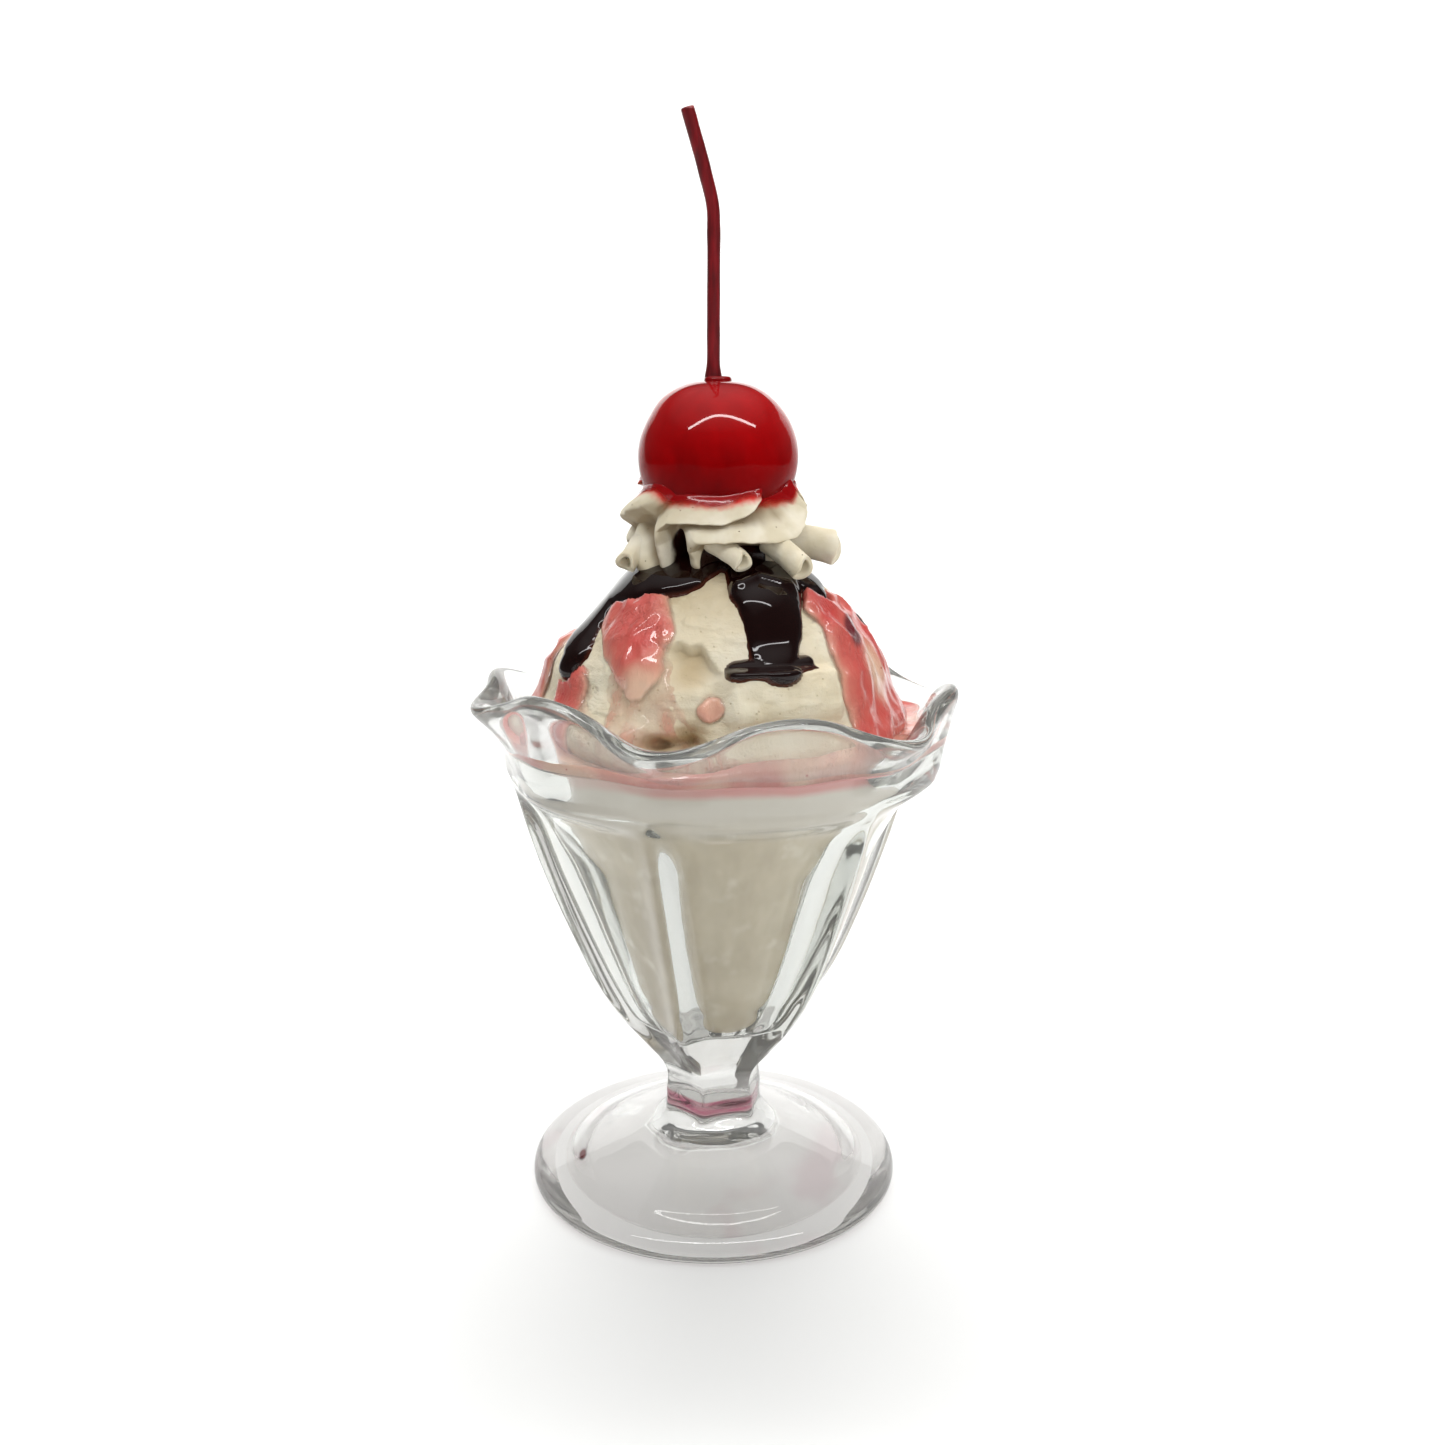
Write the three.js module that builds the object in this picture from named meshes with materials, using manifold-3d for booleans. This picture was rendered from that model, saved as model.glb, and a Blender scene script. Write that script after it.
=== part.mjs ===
// An ice cream sundae made as a display piece, in its pressed-glass tulip dish.
// Millimetres, +Z up. The origin is on the table, under the middle of the foot.
// Azimuth 0 is the front (-Y) and grows towards +X. Elevation is measured from the middle of the scoop.
import * as THREE from 'three';
import { mergeVertices } from 'three/addons/utils/BufferGeometryUtils.js';
import Module from 'manifold-3d';

const wasm = await Module();
wasm.setup();
const { degToRad, lerp, smoothstep } = THREE.MathUtils;

// ---- Driving dimensions ----

const gap = 0.3;                       // between two pieces that touch

// The foot's underside, from its middle out to the ring that it stands on: [radius, height]
const footUnderside = [
  [7, 6.8], [13, 6], [18, 4.6], [22, 3.3], [24.6, 2.4], [26.6, 1.1], [28, 0.3], [29.3, 0], [35, 0],
];
// The foot above the table, round its edge and up to the stem: [radius, height]
const footProfile = [
  [36.2, 0.8], [36.5, 2.2], [35.9, 3.9], [34.2, 5.2], [31.3, 6.1], [26, 7.5], [19, 9.8], [13.4, 12],
  [11.3, 13.1], [10.1, 14.2],
];
const stem = { base: 15.6, neck: 22.2, radius: 9.7, depth: 0.9 };
const bowl = {
  lobes: 6, lobeAzimuth: 17.5, panelTop: 81.5, bandBottom: 86.3, floor: 35.3, shift: 1.0, settled: 55,
};
// The middle of a flat panel as a share of the rib's radius, over most of the bowl and at its top
const panel = { depth: 0.85, topDepth: 0.97, sharpness: 60 };
// Beads that stand on the ribs. They grow and fade out again over these radii of the ribs.
const bead = {
  height: 3.7, halfWidth: 3.4, turn: -4.5, grow: [10, 24], fade: [37.4, 39.8], flatten: [35.5, 39.8],
};
const rim = {
  radius: 45.7, height: 100.7, wave: 2.7, flare: -1.1, flute: 1.0, tilt: 1.5, tiltAzimuth: -75, wall: 3.7,
  crown: 0.6,                          // the lip's rounded top above its sides
  crownRows: [0.3, 0.7],               // how far across the wall it is
};
const rimDips = [[-112, 24, -3.8], [130, 26, -1.8]];     // [azimuth, azimuth reach, rise]
const band = {
  radius: 40.8, bulge: 1.3, innerRadius: 35.5, innerBulge: 0.5, ledge: 1.2, ledgeHeight: 2,
  hollow: 1.45, hollowOverRibs: 0.35,  // exponent of its flare, and how much that varies round it
};
// Heights of the rows of corners, up the outside of the bowl and down its inside
const outsideHeights = [22.2, 25, 28.7, 33, 38, 43.5, 50, 58, 66.4, 72, 77, 81.5];
const bandShares = [0, 0.3, 0.62, 0.92];         // the band's bottom is 0 and the rim 1
const insideHeights = [80, 70, 61, 53, 45, 41, 38, 36, 35.3];

const fill = { top: 92.0, wallGap: 0.45, heights: [38, 42, 48, 56, 68, 80, 86.3, 89.2] };
const scoop = { x: 0.5, y: 0, z: 95, radius: 32, base: fill.top + gap };
const fudge = { thickness: 1.7, feather: 0.9 };
const strawberry = { thickness: 2.0, feather: 1.3, pool: 1.7 };
const cream = { x: 0.8, y: 0 };
const cherry = { x: 1.0, y: 0, z: 143.6, radius: 14.65, top: 158.1 };
const dimple = { depth: 0.9, reach: 24 };        // round the cherry's stalk
const collar = { radius: 2.9, height: 0.9, bevel: 0.6 };     // ring that the stalk comes out of
const stalk = { radius: 1.2, sides: 4 };
// Middle of the stalk: [x, height], straight up and then bent over
const stalkPath = [[0.15, 158.4], [0.2, 170], [0.25, 182], [0.05, 187.5], [-1.3, 193.2], [-4.3, 203.6]];

const fine = { dish: 42, food: 48, cream: 48, creamRows: 18, cherry: 20, cherryRows: 12 };   // faces round
const foodStep = 5.8;                  // degrees of elevation between two rows of the scoop

// Rib radius against height, up the outside of the bowl
const ribProfile = [
  [22.2, 9.8], [25, 10.9], [28.7, 13.8], [33, 17.5], [37.3, 20.8], [41.5, 23.5], [45.7, 25.7], [49.9, 27.6],
  [58.2, 31.1], [66.4, 34.2], [74.5, 36.8], [86.3, 40.0],
];
// Inside radius against height, from the bowl's floor up to the band
const insideProfile = [
  [35.3, 10.6], [36, 12.4], [38, 14.0], [41, 15.7], [45, 17.8], [53, 21.2], [61, 24.4], [70, 28.1],
  [80, 32.5], [86.3, 35.5],
];

// Sauce runs on the scoop: each is a chain of [azimuth, elevation, half width]
const fudgeRuns = [
  [[0, 90, 11.5], [40, 66, 7.5], [27, 52, 6.8], [24, 40, 5.4], [22, 31, 4.6], [21, 27.4, 4.2]],
  [[7, 25.6, 2.0], [20, 26.2, 2.4], [34, 27.2, 1.6]],
  [[0, 90, 11.5], [-22, 61, 4.6], [-50, 58, 5.5], [-80, 53, 6.5]],
  [[-76, 49, 6.0], [-67, 36, 4.4], [-60, 27, 3.3], [-61, 22, 2.7]],
  [[0, 90, 11.5], [60, 66, 6.5], [66, 57, 5.0], [64, 51, 3.0]],
  [[84, 37, 2.0], [85, 31, 2.6]],
  [[0, 90, 11.5], [141, 60, 6.0], [144, 45, 4.6], [147, 33, 3.3]],
  [[0, 90, 11.5], [-172, 58, 5.5], [-170, 49, 4.0]],
  [[0, 90, 11.5], [-138, 58, 6.0], [-144, 44, 4.6], [-149, 29, 3.4]],
];
const strawberryRuns = [
  [[-42, 46, 7.5], [-33, 37, 7.5], [-28, 27, 5.5], [-27, 20, 2.8], [-25, -4, 2.8]],
  [[-2, 14, 2.2], [-1, 14.8, 2.3]],
  [[-56, 17, 4.6], [-56, 9, 5.0], [-56, -4, 6.0]],
  [[-84, 29, 3.4], [-87, 19, 4.6], [-88, 8, 5.4], [-88, -4, 7.0]],
  [[56, 47, 5.5], [61, 39, 6.0], [60, 28, 7.0], [62, 14, 8.5], [64, -4, 11.0]],
  [[74, 42, 5.5], [80, 30, 6.5], [78, 14, 8.5], [78, -4, 11.0]],
  [[152, 38, 5.0], [155, 22, 5.6], [160, 6, 8.0], [160, -4, 9.0]],
  [[-139, 22, 4.8], [-134, 10, 6.0], [-130, -4, 7.0]],
];

// Relief of the scoop: [azimuth, elevation, azimuth reach, elevation reach, height]
const scoopRelief = [
  [20, 47, 17, 7, 1.5],      // brow under the fudge, and the steep face below it
  [21, 34, 12, 5, -0.9],
  [-8, 5, 5, 4.5, -4.2],     // pockets beside the lip
  [-18, 3, 4, 3, -3.4],
  [-70, 24, 15, 10, 1.6],    // left shoulder
  [-36, 5, 20, 7, 2.2],      // spread foot of the scoop
  [110, 15, 22, 12, 1.5],
  [-120, 30, 18, 9, -1.4],
  [170, 12, 25, 9, 1.6],
  [145, 30, 14, 6, -1.3],
  [-92, 52, 26, 12, -1.6],   // flatter left shoulder below the cream
  [-88, 38, 32, 15, -2.2],
  [-13, 3, 9, 2.2, -2.6],    // crevice along the foot
];
const shelf = { azimuth: -7, reach: 11, top: 35, bottom: 20, slant: 0.5, depth: 2.6, edge: 2 };
const lip = { from: -1, to: 47, top: 27, bottom: 5, height: 3.2, edge: 4 };
const skirt = { height: 2.6, reach: 7 };
const waves = { count: 3, phase: 60, height: 0.5 };
const ripple = { counts: [5, 3], phases: [40, 0], heights: [0.35, 0.25] };     // of the pool's surface
// Rows of the pool from its foot inwards: [share of its radius, height below its top, share of the ripple]
const poolRows = [[1, 1.7, 0], [1, 0, 0.6], [0.95, 0.3, 1], [0.85, 0, 1]];

// Whipped cream: [height, radius] of its body, and the piped ridges that wind round it. Each ridge is a chain
// of [azimuth, height, how far it stands out]. It falls off over these widths on its two sides.
const creamBody = [
  [119.5, 11], [121.5, 13], [124, 13.6], [128, 13.8], [132, 13.8], [135.5, 12.6], [138, 11.6], [141, 10],
];
const creamRidges = [
  { above: 2.2, below: 1.4, power: 1.6, path: [[-130, 138, 3], [-112, 141, 5.4], [-96, 140.4, 4.4]] },
  { above: 2.0, below: 3.8, power: 1.7, path: [
    [-112, 133.8, 3.8], [-92, 135.2, 5.2], [-74, 136.4, 5.4], [-58, 137.8, 4.6], [-46, 139.4, 3],
  ] },
  { above: 2.6, below: 2.6, power: 2.2, path: [[-72, 129.5, 3.2], [-64, 127.4, 3.4], [-56, 124.4, 2.8]] },
  { above: 2.3, below: 1.2, power: 1.5, path: [
    [-37, 123.8, 1.8], [-40, 129.4, 2.6], [-39, 132.4, 3.4], [-32, 134.1, 3.8], [-14, 134.4, 4],
    [3, 134.4, 4], [14, 135, 4], [24, 136.4, 4], [32, 138, 3.4], [35, 139.4, 2.6],
  ] },
  { above: 3.0, below: 1.2, power: 1.5, path: [
    [-12, 124.4, 1.6], [-17, 128.6, 2.8], [-11, 131, 4], [8, 131.7, 4.6], [30, 131.2, 4.8], [48, 131.8, 5],
    [60, 133.8, 5.2], [70, 136.2, 5.4], [70, 139.4, 4.6],
  ] },
  { above: 3.4, below: 3.0, power: 2.4, path: [[74, 129.4, 4.6], [92, 128.8, 5.4], [112, 128.8, 4.4]] },
  { above: 3.2, below: 1.6, power: 1.6, path: [
    [86, 139, 4], [104, 136.2, 5], [128, 133.4, 5], [150, 132.2, 4.6], [176, 133.8, 4.8], [198, 136.8, 4.4],
    [210, 139.4, 3],
  ] },
  { above: 3.0, below: 1.6, power: 1.6, path: [
    [120, 125.2, 2.2], [130, 128.6, 3.6], [156, 128.2, 4], [182, 128.6, 4.2], [204, 131.8, 4.8],
    [222, 135.8, 4.8], [238, 139, 3.4],
  ] },
  { above: 2.8, below: 2.0, power: 1.8, path: [
    [208, 125, 2.6], [222, 129.8, 4.2], [244, 130.4, 4.4], [258, 129, 3.4],
  ] },
  { above: 2.6, below: 1.8, power: 1.8, path: [[142, 140, 2.6], [164, 138.2, 3.6], [180, 139.8, 2.4]] },
];
// Hollows between the ridges: [azimuth, height, reach round, reach up, depth]
const creamHollows = [
  [-27, 126.5, 7, 4, 4.2], [18, 126, 16, 2.6, 2.8], [-80, 130.2, 9, 1.4, 2.2], [112, 124, 14, 2, 2.4],
  [-60, 131.6, 9, 2.4, 1.4],
];
const creamRound = 16;       // radius on which the lengths round the cream are measured
const creamSag = 0.42;       // how far a ridge hangs down, as a share of what it stands out
const creamLift = 0.4;       // the ridges' heights above the given ones, before they sag
// Short rolled ends that hang out of the cream: both ends of the middle line, and the radius
const creamCurls = [
  { at: [-0.6, -12.5, 129.6], to: [5.6, -18.4, 125.9], radius: 1.9 },
  { at: [10.2, -11.0, 129.6], to: [16.0, -15.8, 125.4], radius: 2.3 },
  { at: [-12.8, -5.0, 128.4], to: [-15.6, -9.4, 125.5], radius: 1.9 },
  { at: [4.0, 12.0, 129.0], to: [8.4, 18.4, 124.0], radius: 2.4 },
  { at: [12.0, -4.0, 129.2], to: [22.6, -6.0, 128.0], radius: 3.1 },
];

// ---- Shape helpers ----

// A point at a distance from the vertical axis of the part
function polar(azimuth, radius, height) {
  const angle = degToRad(azimuth);
  return new THREE.Vector3(radius * Math.sin(angle), -radius * Math.cos(angle), height);
}

// The same on the bowl, which sits a little to the right of its foot
function onBowl(azimuth, radius, height) {
  const point = polar(azimuth, radius, height);
  return point.setX(point.x + bowl.shift * smoothstep(height, stem.neck, bowl.settled));
}

// A bell curve, 1 at 0
function bell(offset, reach) {
  return Math.exp(-((offset / reach) ** 2));
}

// The shortest way round from one azimuth to another
function turn(azimuth, from) {
  return ((azimuth - from + 540) % 360) - 180;
}

// A smooth curve through [height, radius] points
function profileRadius(points) {
  const curve = new THREE.SplineCurve(points.map(([height, radius]) => new THREE.Vector2(height, radius)));
  const samples = curve.getPoints(points.length * 12);
  return (height) => {
    const after = samples.findIndex((sample) => sample.x >= height);
    if (after === 0) return samples[0].y;
    if (after < 0) return samples[samples.length - 1].y;
    const [low, high] = [samples[after - 1], samples[after]];
    return lerp(low.y, high.y, (height - low.x) / (high.x - low.x));
  };
}

// A closed surface from rows of points between two end points. Rows run anticlockwise seen from above,
// and their order goes up the outside.
function closedSurface(first, rows, last) {
  const count = rows[0].length;
  const points = [first, ...rows.flat(), last];
  const indices = [];
  for (let side = 0; side < count; side++) {
    const next = (side + 1) % count;
    indices.push(0, 1 + next, 1 + side);
    for (let row = 0; row + 1 < rows.length; row++) {
      const [low, high] = [1 + row * count, 1 + (row + 1) * count];
      indices.push(low + side, low + next, high + next, low + side, high + next, high + side);
    }
    const top = 1 + (rows.length - 1) * count;
    indices.push(top + side, top + next, points.length - 1);
  }
  const geometry = new THREE.BufferGeometry().setFromPoints(points);
  geometry.setIndex(indices);
  return geometry;
}

function azimuths(count, phase = 0) {
  return Array.from({ length: count }, (_, side) => ((side + phase) * 360) / count);
}

// Geometry to a solid that can be joined and cut, its corners closer than this welded
function solid(geometry, weld = 1e-4) {
  const bare = geometry.clone();
  bare.deleteAttribute('normal');
  bare.deleteAttribute('uv');
  const merged = mergeVertices(bare, weld);
  return new wasm.Manifold(new wasm.Mesh({
    numProp: 3,
    vertProperties: merged.attributes.position.array,
    triVerts: new Uint32Array(merged.index.array),
  }));
}

// The largest body of a solid, as a geometry
function largestBody(made) {
  const bodies = made.decompose();
  const largest = bodies.reduce((best, body) => (body.volume() > best.volume() ? body : best));
  const { vertProperties, triVerts } = largest.getMesh();
  const geometry = new THREE.BufferGeometry();
  geometry.setAttribute('position', new THREE.BufferAttribute(vertProperties, 3));
  geometry.setIndex(new THREE.BufferAttribute(triVerts, 1));
  return geometry;
}

// A joined and cut solid as a geometry, without the slivers that the cuts leave
function geometryOf(made) {
  const sliver = 0.06;
  const weld = 8e-3;
  const rough = largestBody(made.asOriginal().simplify(sliver));
  return largestBody(solid(rough, weld).asOriginal().simplify(sliver));
}

// ---- Pressed-glass dish ----

const ribRadius = profileRadius(ribProfile);
const insideRadius = profileRadius(insideProfile);

// 1 over the middle of a panel, -1 over a rib
function lobe(azimuth) {
  return Math.cos(degToRad(bowl.lobes * (azimuth - bowl.lobeAzimuth)));
}

// The azimuth from the nearest of the places that repeat round the bowl, of which one is at this azimuth
function fromNearest(azimuth, first) {
  const sector = 360 / bowl.lobes;
  return turn(azimuth, first + sector * Math.round((azimuth - first) / sector));
}

// A circle with six flats, at the height where its ribs have this radius
function panelledRadius(azimuth, rib, depth) {
  const flat = (depth * rib) / Math.cos(degToRad(fromNearest(azimuth, bowl.lobeAzimuth)));
  return (rib ** -panel.sharpness + flat ** -panel.sharpness) ** (-1 / panel.sharpness);
}

// The same with a bead on each rib, whose crest has this radius
function beadedRadius(azimuth, crest) {
  const firstRib = bowl.lobeAzimuth - 180 / bowl.lobes + bead.turn;
  const offRib = degToRad(Math.abs(fromNearest(azimuth, firstRib))) * crest;
  const height = bead.height * smoothstep(crest, ...bead.grow) * (1 - smoothstep(crest, ...bead.fade));
  const low = crest - height;
  const depth = lerp(panel.depth, panel.topDepth, smoothstep(crest, ...bead.flatten));
  const stands = height * Math.exp(-((offRib / bead.halfWidth) ** 1.5));
  return panelledRadius(azimuth, low, (depth * crest) / low) + stands;
}

function rimHeight(azimuth) {
  const tilt = rim.tilt * Math.cos(degToRad(azimuth - rim.tiltAzimuth));
  const dips = rimDips.reduce((sum, [at, reach, rise]) => sum + rise * bell(turn(azimuth, at), reach), 0);
  return rim.height + rim.wave * lobe(azimuth) + tilt + dips;
}

// Radius of the band between the panels and the rim, outside or inside. Share 0 is its bottom and 1 the rim.
function bandRadius(azimuth, share, inside) {
  const lobes = lobe(azimuth);
  const hollow = share ** (band.hollow - band.hollowOverRibs * lobes);
  const top = rim.radius + rim.flare * lobes + rim.flute * lobe(2 * azimuth - bowl.lobeAzimuth);
  if (inside) return lerp(band.innerRadius + band.innerBulge * lobes, top - rim.wall, hollow);
  return lerp(band.radius + band.bulge * lobes, top, hollow);
}

function innerRadius(azimuth, height) {
  if (height <= bowl.bandBottom) {
    const toBand = smoothstep(height, bowl.panelTop, bowl.bandBottom);
    return lerp(insideRadius(height), bandRadius(azimuth, 0, true), toBand);
  }
  return bandRadius(azimuth, (height - bowl.bandBottom) / (rimHeight(azimuth) - bowl.bandBottom), true);
}

function dishGeometry() {
  const round = azimuths(fine.dish);
  const ring = ([radius, height]) => round.map((azimuth) => polar(azimuth, radius, height));
  const stemRow = (height) => round.map((azimuth) =>
    polar(azimuth, panelledRadius(azimuth, stem.radius, stem.depth), height));
  const bowlRow = (radiusAt, heightAt) => round.map((azimuth) =>
    onBowl(azimuth, radiusAt(azimuth), heightAt(azimuth)));
  const bandRow = (share, inside) => bowlRow((azimuth) => bandRadius(azimuth, share, inside),
    (azimuth) => lerp(bowl.bandBottom, rimHeight(azimuth), share));
  const lipRow = (across) => bowlRow((azimuth) => bandRadius(azimuth, 1, false) - across * rim.wall,
    (azimuth) => rimHeight(azimuth) + rim.crown);
  const ledgeRadius = (azimuth) => bandRadius(azimuth, 0, false) - (band.ledge * (1 + lobe(azimuth))) / 2;
  const rows = [
    ...footUnderside.map(ring),
    ...footProfile.map(ring),
    stemRow(stem.base),
    stemRow((stem.base + stem.neck) / 2),
    ...outsideHeights.map((height) => bowlRow((azimuth) => beadedRadius(azimuth, ribRadius(height)),
      () => height)),
    bowlRow(ledgeRadius, () => bowl.bandBottom - band.ledgeHeight),
    ...bandShares.map((share) => bandRow(share, false)),
    ...rim.crownRows.map(lipRow),
    ...[...bandShares].reverse().map((share) => bandRow(share, true)),
    ...insideHeights.map((height) => bowlRow((azimuth) => innerRadius(azimuth, height), () => height)),
  ];
  const [, hollowTop] = footUnderside[0];
  return closedSurface(new THREE.Vector3(0, 0, hollowTop), rows, new THREE.Vector3(0, 0, bowl.floor));
}

// ---- Ice cream in the glass, up to the pool of sauce ----

function fillGeometry() {
  const round = azimuths(fine.dish);
  const base = bowl.floor + gap;
  const rows = [base, ...fill.heights, fill.top].map((height) => round.map((azimuth) =>
    onBowl(azimuth, innerRadius(azimuth, height - gap) - fill.wallGap, height)));
  return closedSurface(new THREE.Vector3(0, 0, base), rows, new THREE.Vector3(0, 0, fill.top));
}

// ---- Scoop ----

function lipHeight(azimuth, elevation) {
  const along = smoothstep(turn(azimuth, lip.from), 0, 8) * (1 - smoothstep(turn(azimuth, lip.to), -8, 0));
  const upper = 1 - smoothstep(elevation, lip.top - lip.edge, lip.top);
  return lip.height * along * upper * smoothstep(elevation, lip.bottom, 14);
}

// Depth of the hollow that the spoon tore out above the lip. Its upper edge falls away to the right.
function shelfDepth(azimuth, elevation) {
  const off = turn(azimuth, shelf.azimuth);
  const top = shelf.top - shelf.slant * Math.max(off, 0) ** 1.3;
  const upper = 1 - smoothstep(elevation, top, top + shelf.edge);
  const side = Math.exp(-((off / shelf.reach) ** 4));
  return shelf.depth * smoothstep(elevation, shelf.bottom, shelf.top - 3) * upper * side;
}

function scoopRadius(azimuth, elevation) {
  const wave = waves.height * Math.sin(degToRad(waves.count * azimuth + waves.phase));
  const raised = lipHeight(azimuth, elevation) + skirt.height * bell(elevation, skirt.reach);
  const even = scoop.radius + wave * Math.cos(degToRad(elevation)) + raised;
  return scoopRelief.reduce((radius, [at, height, reach, rise, amount]) =>
    radius + amount * bell(turn(azimuth, at), reach) * bell(elevation - height, rise),
  even - shelfDepth(azimuth, elevation));
}

function onScoop(azimuth, elevation, extra) {
  const up = degToRad(elevation);
  const reach = scoopRadius(azimuth, elevation) + extra;
  const offset = polar(azimuth, reach * Math.cos(up), reach * Math.sin(up));
  return offset.add(new THREE.Vector3(scoop.x, scoop.y, scoop.z));
}

// A shell round the scoop: extra(azimuth, elevation) outside its surface. Its flat base is this far below
// the scoop's. The phase shifts its corners by a share of a face, so that two shells never cross at a corner.
function scoopShell(extra, { below = 0, phase = 0 } = {}) {
  const lowest = THREE.MathUtils.radToDeg(Math.asin((scoop.base - scoop.z) / scoop.radius));
  const elevations = [lowest];
  for (let elevation = lowest + foodStep * (1 - phase); elevation < 87; elevation += foodStep) {
    elevations.push(elevation);
  }
  const rows = elevations.map((elevation) => azimuths(fine.food, phase).map((azimuth) =>
    onScoop(azimuth, elevation, extra(azimuth, elevation))));
  rows[0].forEach((point) => point.setZ(scoop.base));
  const base = scoop.base - below;
  if (below > 0) rows.unshift(rows[0].map((point) => point.clone().setZ(base)));
  return closedSurface(new THREE.Vector3(scoop.x, scoop.y, base), rows, onScoop(0, 90, extra(0, 90)));
}

// ---- Sauces: skins over the scoop ----

function directionOf(azimuth, elevation) {
  const up = degToRad(elevation);
  return polar(azimuth, scoop.radius * Math.cos(up), scoop.radius * Math.sin(up));
}

// Distance outside the nearest run, negative inside it
function runDistance(runs, azimuth, elevation) {
  const place = directionOf(azimuth, elevation);
  let nearest = Infinity;
  for (const run of runs) {
    for (let link = 0; link + 1 < run.length; link++) {
      const [from, to] = [directionOf(...run[link]), directionOf(...run[link + 1])];
      const way = to.clone().sub(from);
      const share = THREE.MathUtils.clamp(place.clone().sub(from).dot(way) / way.lengthSq(), 0, 1);
      const width = lerp(run[link][2], run[link + 1][2], share);
      nearest = Math.min(nearest, place.distanceTo(from.addScaledVector(way, share)) - width);
    }
  }
  return nearest;
}

function sauceHeight(runs, sauce, azimuth, elevation) {
  const distance = runDistance(runs, azimuth, elevation);
  return distance < 0 ? sauce.thickness * (1 - Math.exp(distance / sauce.feather)) : -distance;
}

const fudgeHeight = (azimuth, elevation) => sauceHeight(fudgeRuns, fudge, azimuth, elevation);
const strawberryHeight = (azimuth, elevation) => sauceHeight(strawberryRuns, strawberry, azimuth, elevation);

const underCut = { below: 1.5 };      // a cutting shell reaches below the pool
const skin = { phase: 0.45 };
const scoopCut = solid(scoopShell(() => gap, underCut));

function fudgeGeometry() {
  return geometryOf(solid(scoopShell(fudgeHeight, skin)).subtract(scoopCut));
}

function poolGeometry() {
  const rippleAt = (azimuth) => ripple.counts.reduce((sum, count, index) =>
    sum + ripple.heights[index] * Math.sin(degToRad(count * azimuth + ripple.phases[index])), 0);
  const row = (share, height, wave) => azimuths(fine.dish).map((azimuth) => {
    const radius = share * (innerRadius(azimuth, height - gap) - fill.wallGap);
    return onBowl(azimuth, radius, height + wave * rippleAt(azimuth));
  });
  const top = scoop.base + strawberry.pool;
  const rows = poolRows.map(([share, below, wave]) => row(share, top - below, wave));
  return closedSurface(new THREE.Vector3(0, 0, scoop.base), rows, new THREE.Vector3(0, 0, top));
}

function strawberryGeometry() {
  const keepOff = solid(scoopShell((azimuth, elevation) => fudgeHeight(azimuth, elevation) + gap,
    { ...underCut, ...skin }));
  const runs = solid(scoopShell(strawberryHeight, { phase: 0.25 }));
  return geometryOf(solid(poolGeometry()).add(runs).subtract(scoopCut).subtract(keepOff));
}

// ---- Whipped cream ----

// How far the nearest ridge stands out at a place on the cream's body
function creamRelief(azimuth, height) {
  let most = 0;
  for (const { path, above, below, power } of creamRidges) {
    let nearest = { distance: Infinity };
    for (let link = 0; link + 1 < path.length; link++) {
      const [from, to] = [path[link], path[link + 1]];
      const across = creamRound * degToRad(turn(azimuth, from[0]));
      const way = new THREE.Vector2(creamRound * degToRad(to[0] - from[0]), to[1] - from[1]);
      const offset = new THREE.Vector2(across, height - from[1]);
      const share = THREE.MathUtils.clamp(offset.dot(way) / way.lengthSq(), 0, 1);
      const distance = offset.distanceTo(way.clone().multiplyScalar(share));
      if (distance < nearest.distance) {
        const side = way.cross(offset) > 0 ? above : below;
        nearest = { distance, out: lerp(from[2], to[2], share), side };
      }
    }
    most = Math.max(most, nearest.out * Math.exp(-((nearest.distance / nearest.side) ** power)));
  }
  const hollow = creamHollows.map(([at, level, reach, rise, depth]) =>
    depth * bell(turn(azimuth, at), reach) * bell(height - level, rise));
  return most - hollow.reduce((sum, part) => sum + part, 0);
}

function creamBodyGeometry() {
  const bodyRadius = profileRadius(creamBody);
  const [base, top] = [creamBody[0][0], creamBody[creamBody.length - 1][0]];
  const rows = [];
  for (let step = 0; step <= fine.creamRows; step++) {
    const height = lerp(base, top, step / fine.creamRows);
    rows.push(azimuths(fine.cream, 0.3).map((azimuth) => {
      const relief = creamRelief(azimuth, height - creamLift);
      return polar(azimuth, bodyRadius(height) + relief, height - creamSag * relief);
    }));
  }
  const body = closedSurface(new THREE.Vector3(0, 0, base), rows, new THREE.Vector3(0, 0, top));
  return body.translate(cream.x, cream.y, 0);
}

function curlGeometry({ at, to, radius }) {
  const path = new THREE.LineCurve3(new THREE.Vector3(...at), new THREE.Vector3(...to));
  const outline = new THREE.Shape().absarc(0, 0, radius, 0, 2 * Math.PI);
  const settings = { steps: 1, curveSegments: 5, bevelEnabled: false, extrudePath: path };
  return new THREE.ExtrudeGeometry(outline, settings);
}

function creamGeometry() {
  let made = solid(creamBodyGeometry());
  creamCurls.forEach((curl) => {
    made = made.add(solid(curlGeometry(curl)));
  });
  const cutRadius = cherry.radius + gap;
  const cherryCut = new THREE.SphereGeometry(cutRadius, fine.cherry, 12).rotateX(Math.PI / 2)
    .translate(cherry.x, cherry.y, cherry.z);
  const sauceCut = scoopShell((azimuth, elevation) => gap + Math.max(gap, fudgeHeight(azimuth, elevation),
    strawberryHeight(azimuth, elevation)), { phase: 0.6 });
  return geometryOf(made.subtract(solid(cherryCut)).subtract(solid(sauceCut)));
}

// ---- Cherry and its stalk ----

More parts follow.
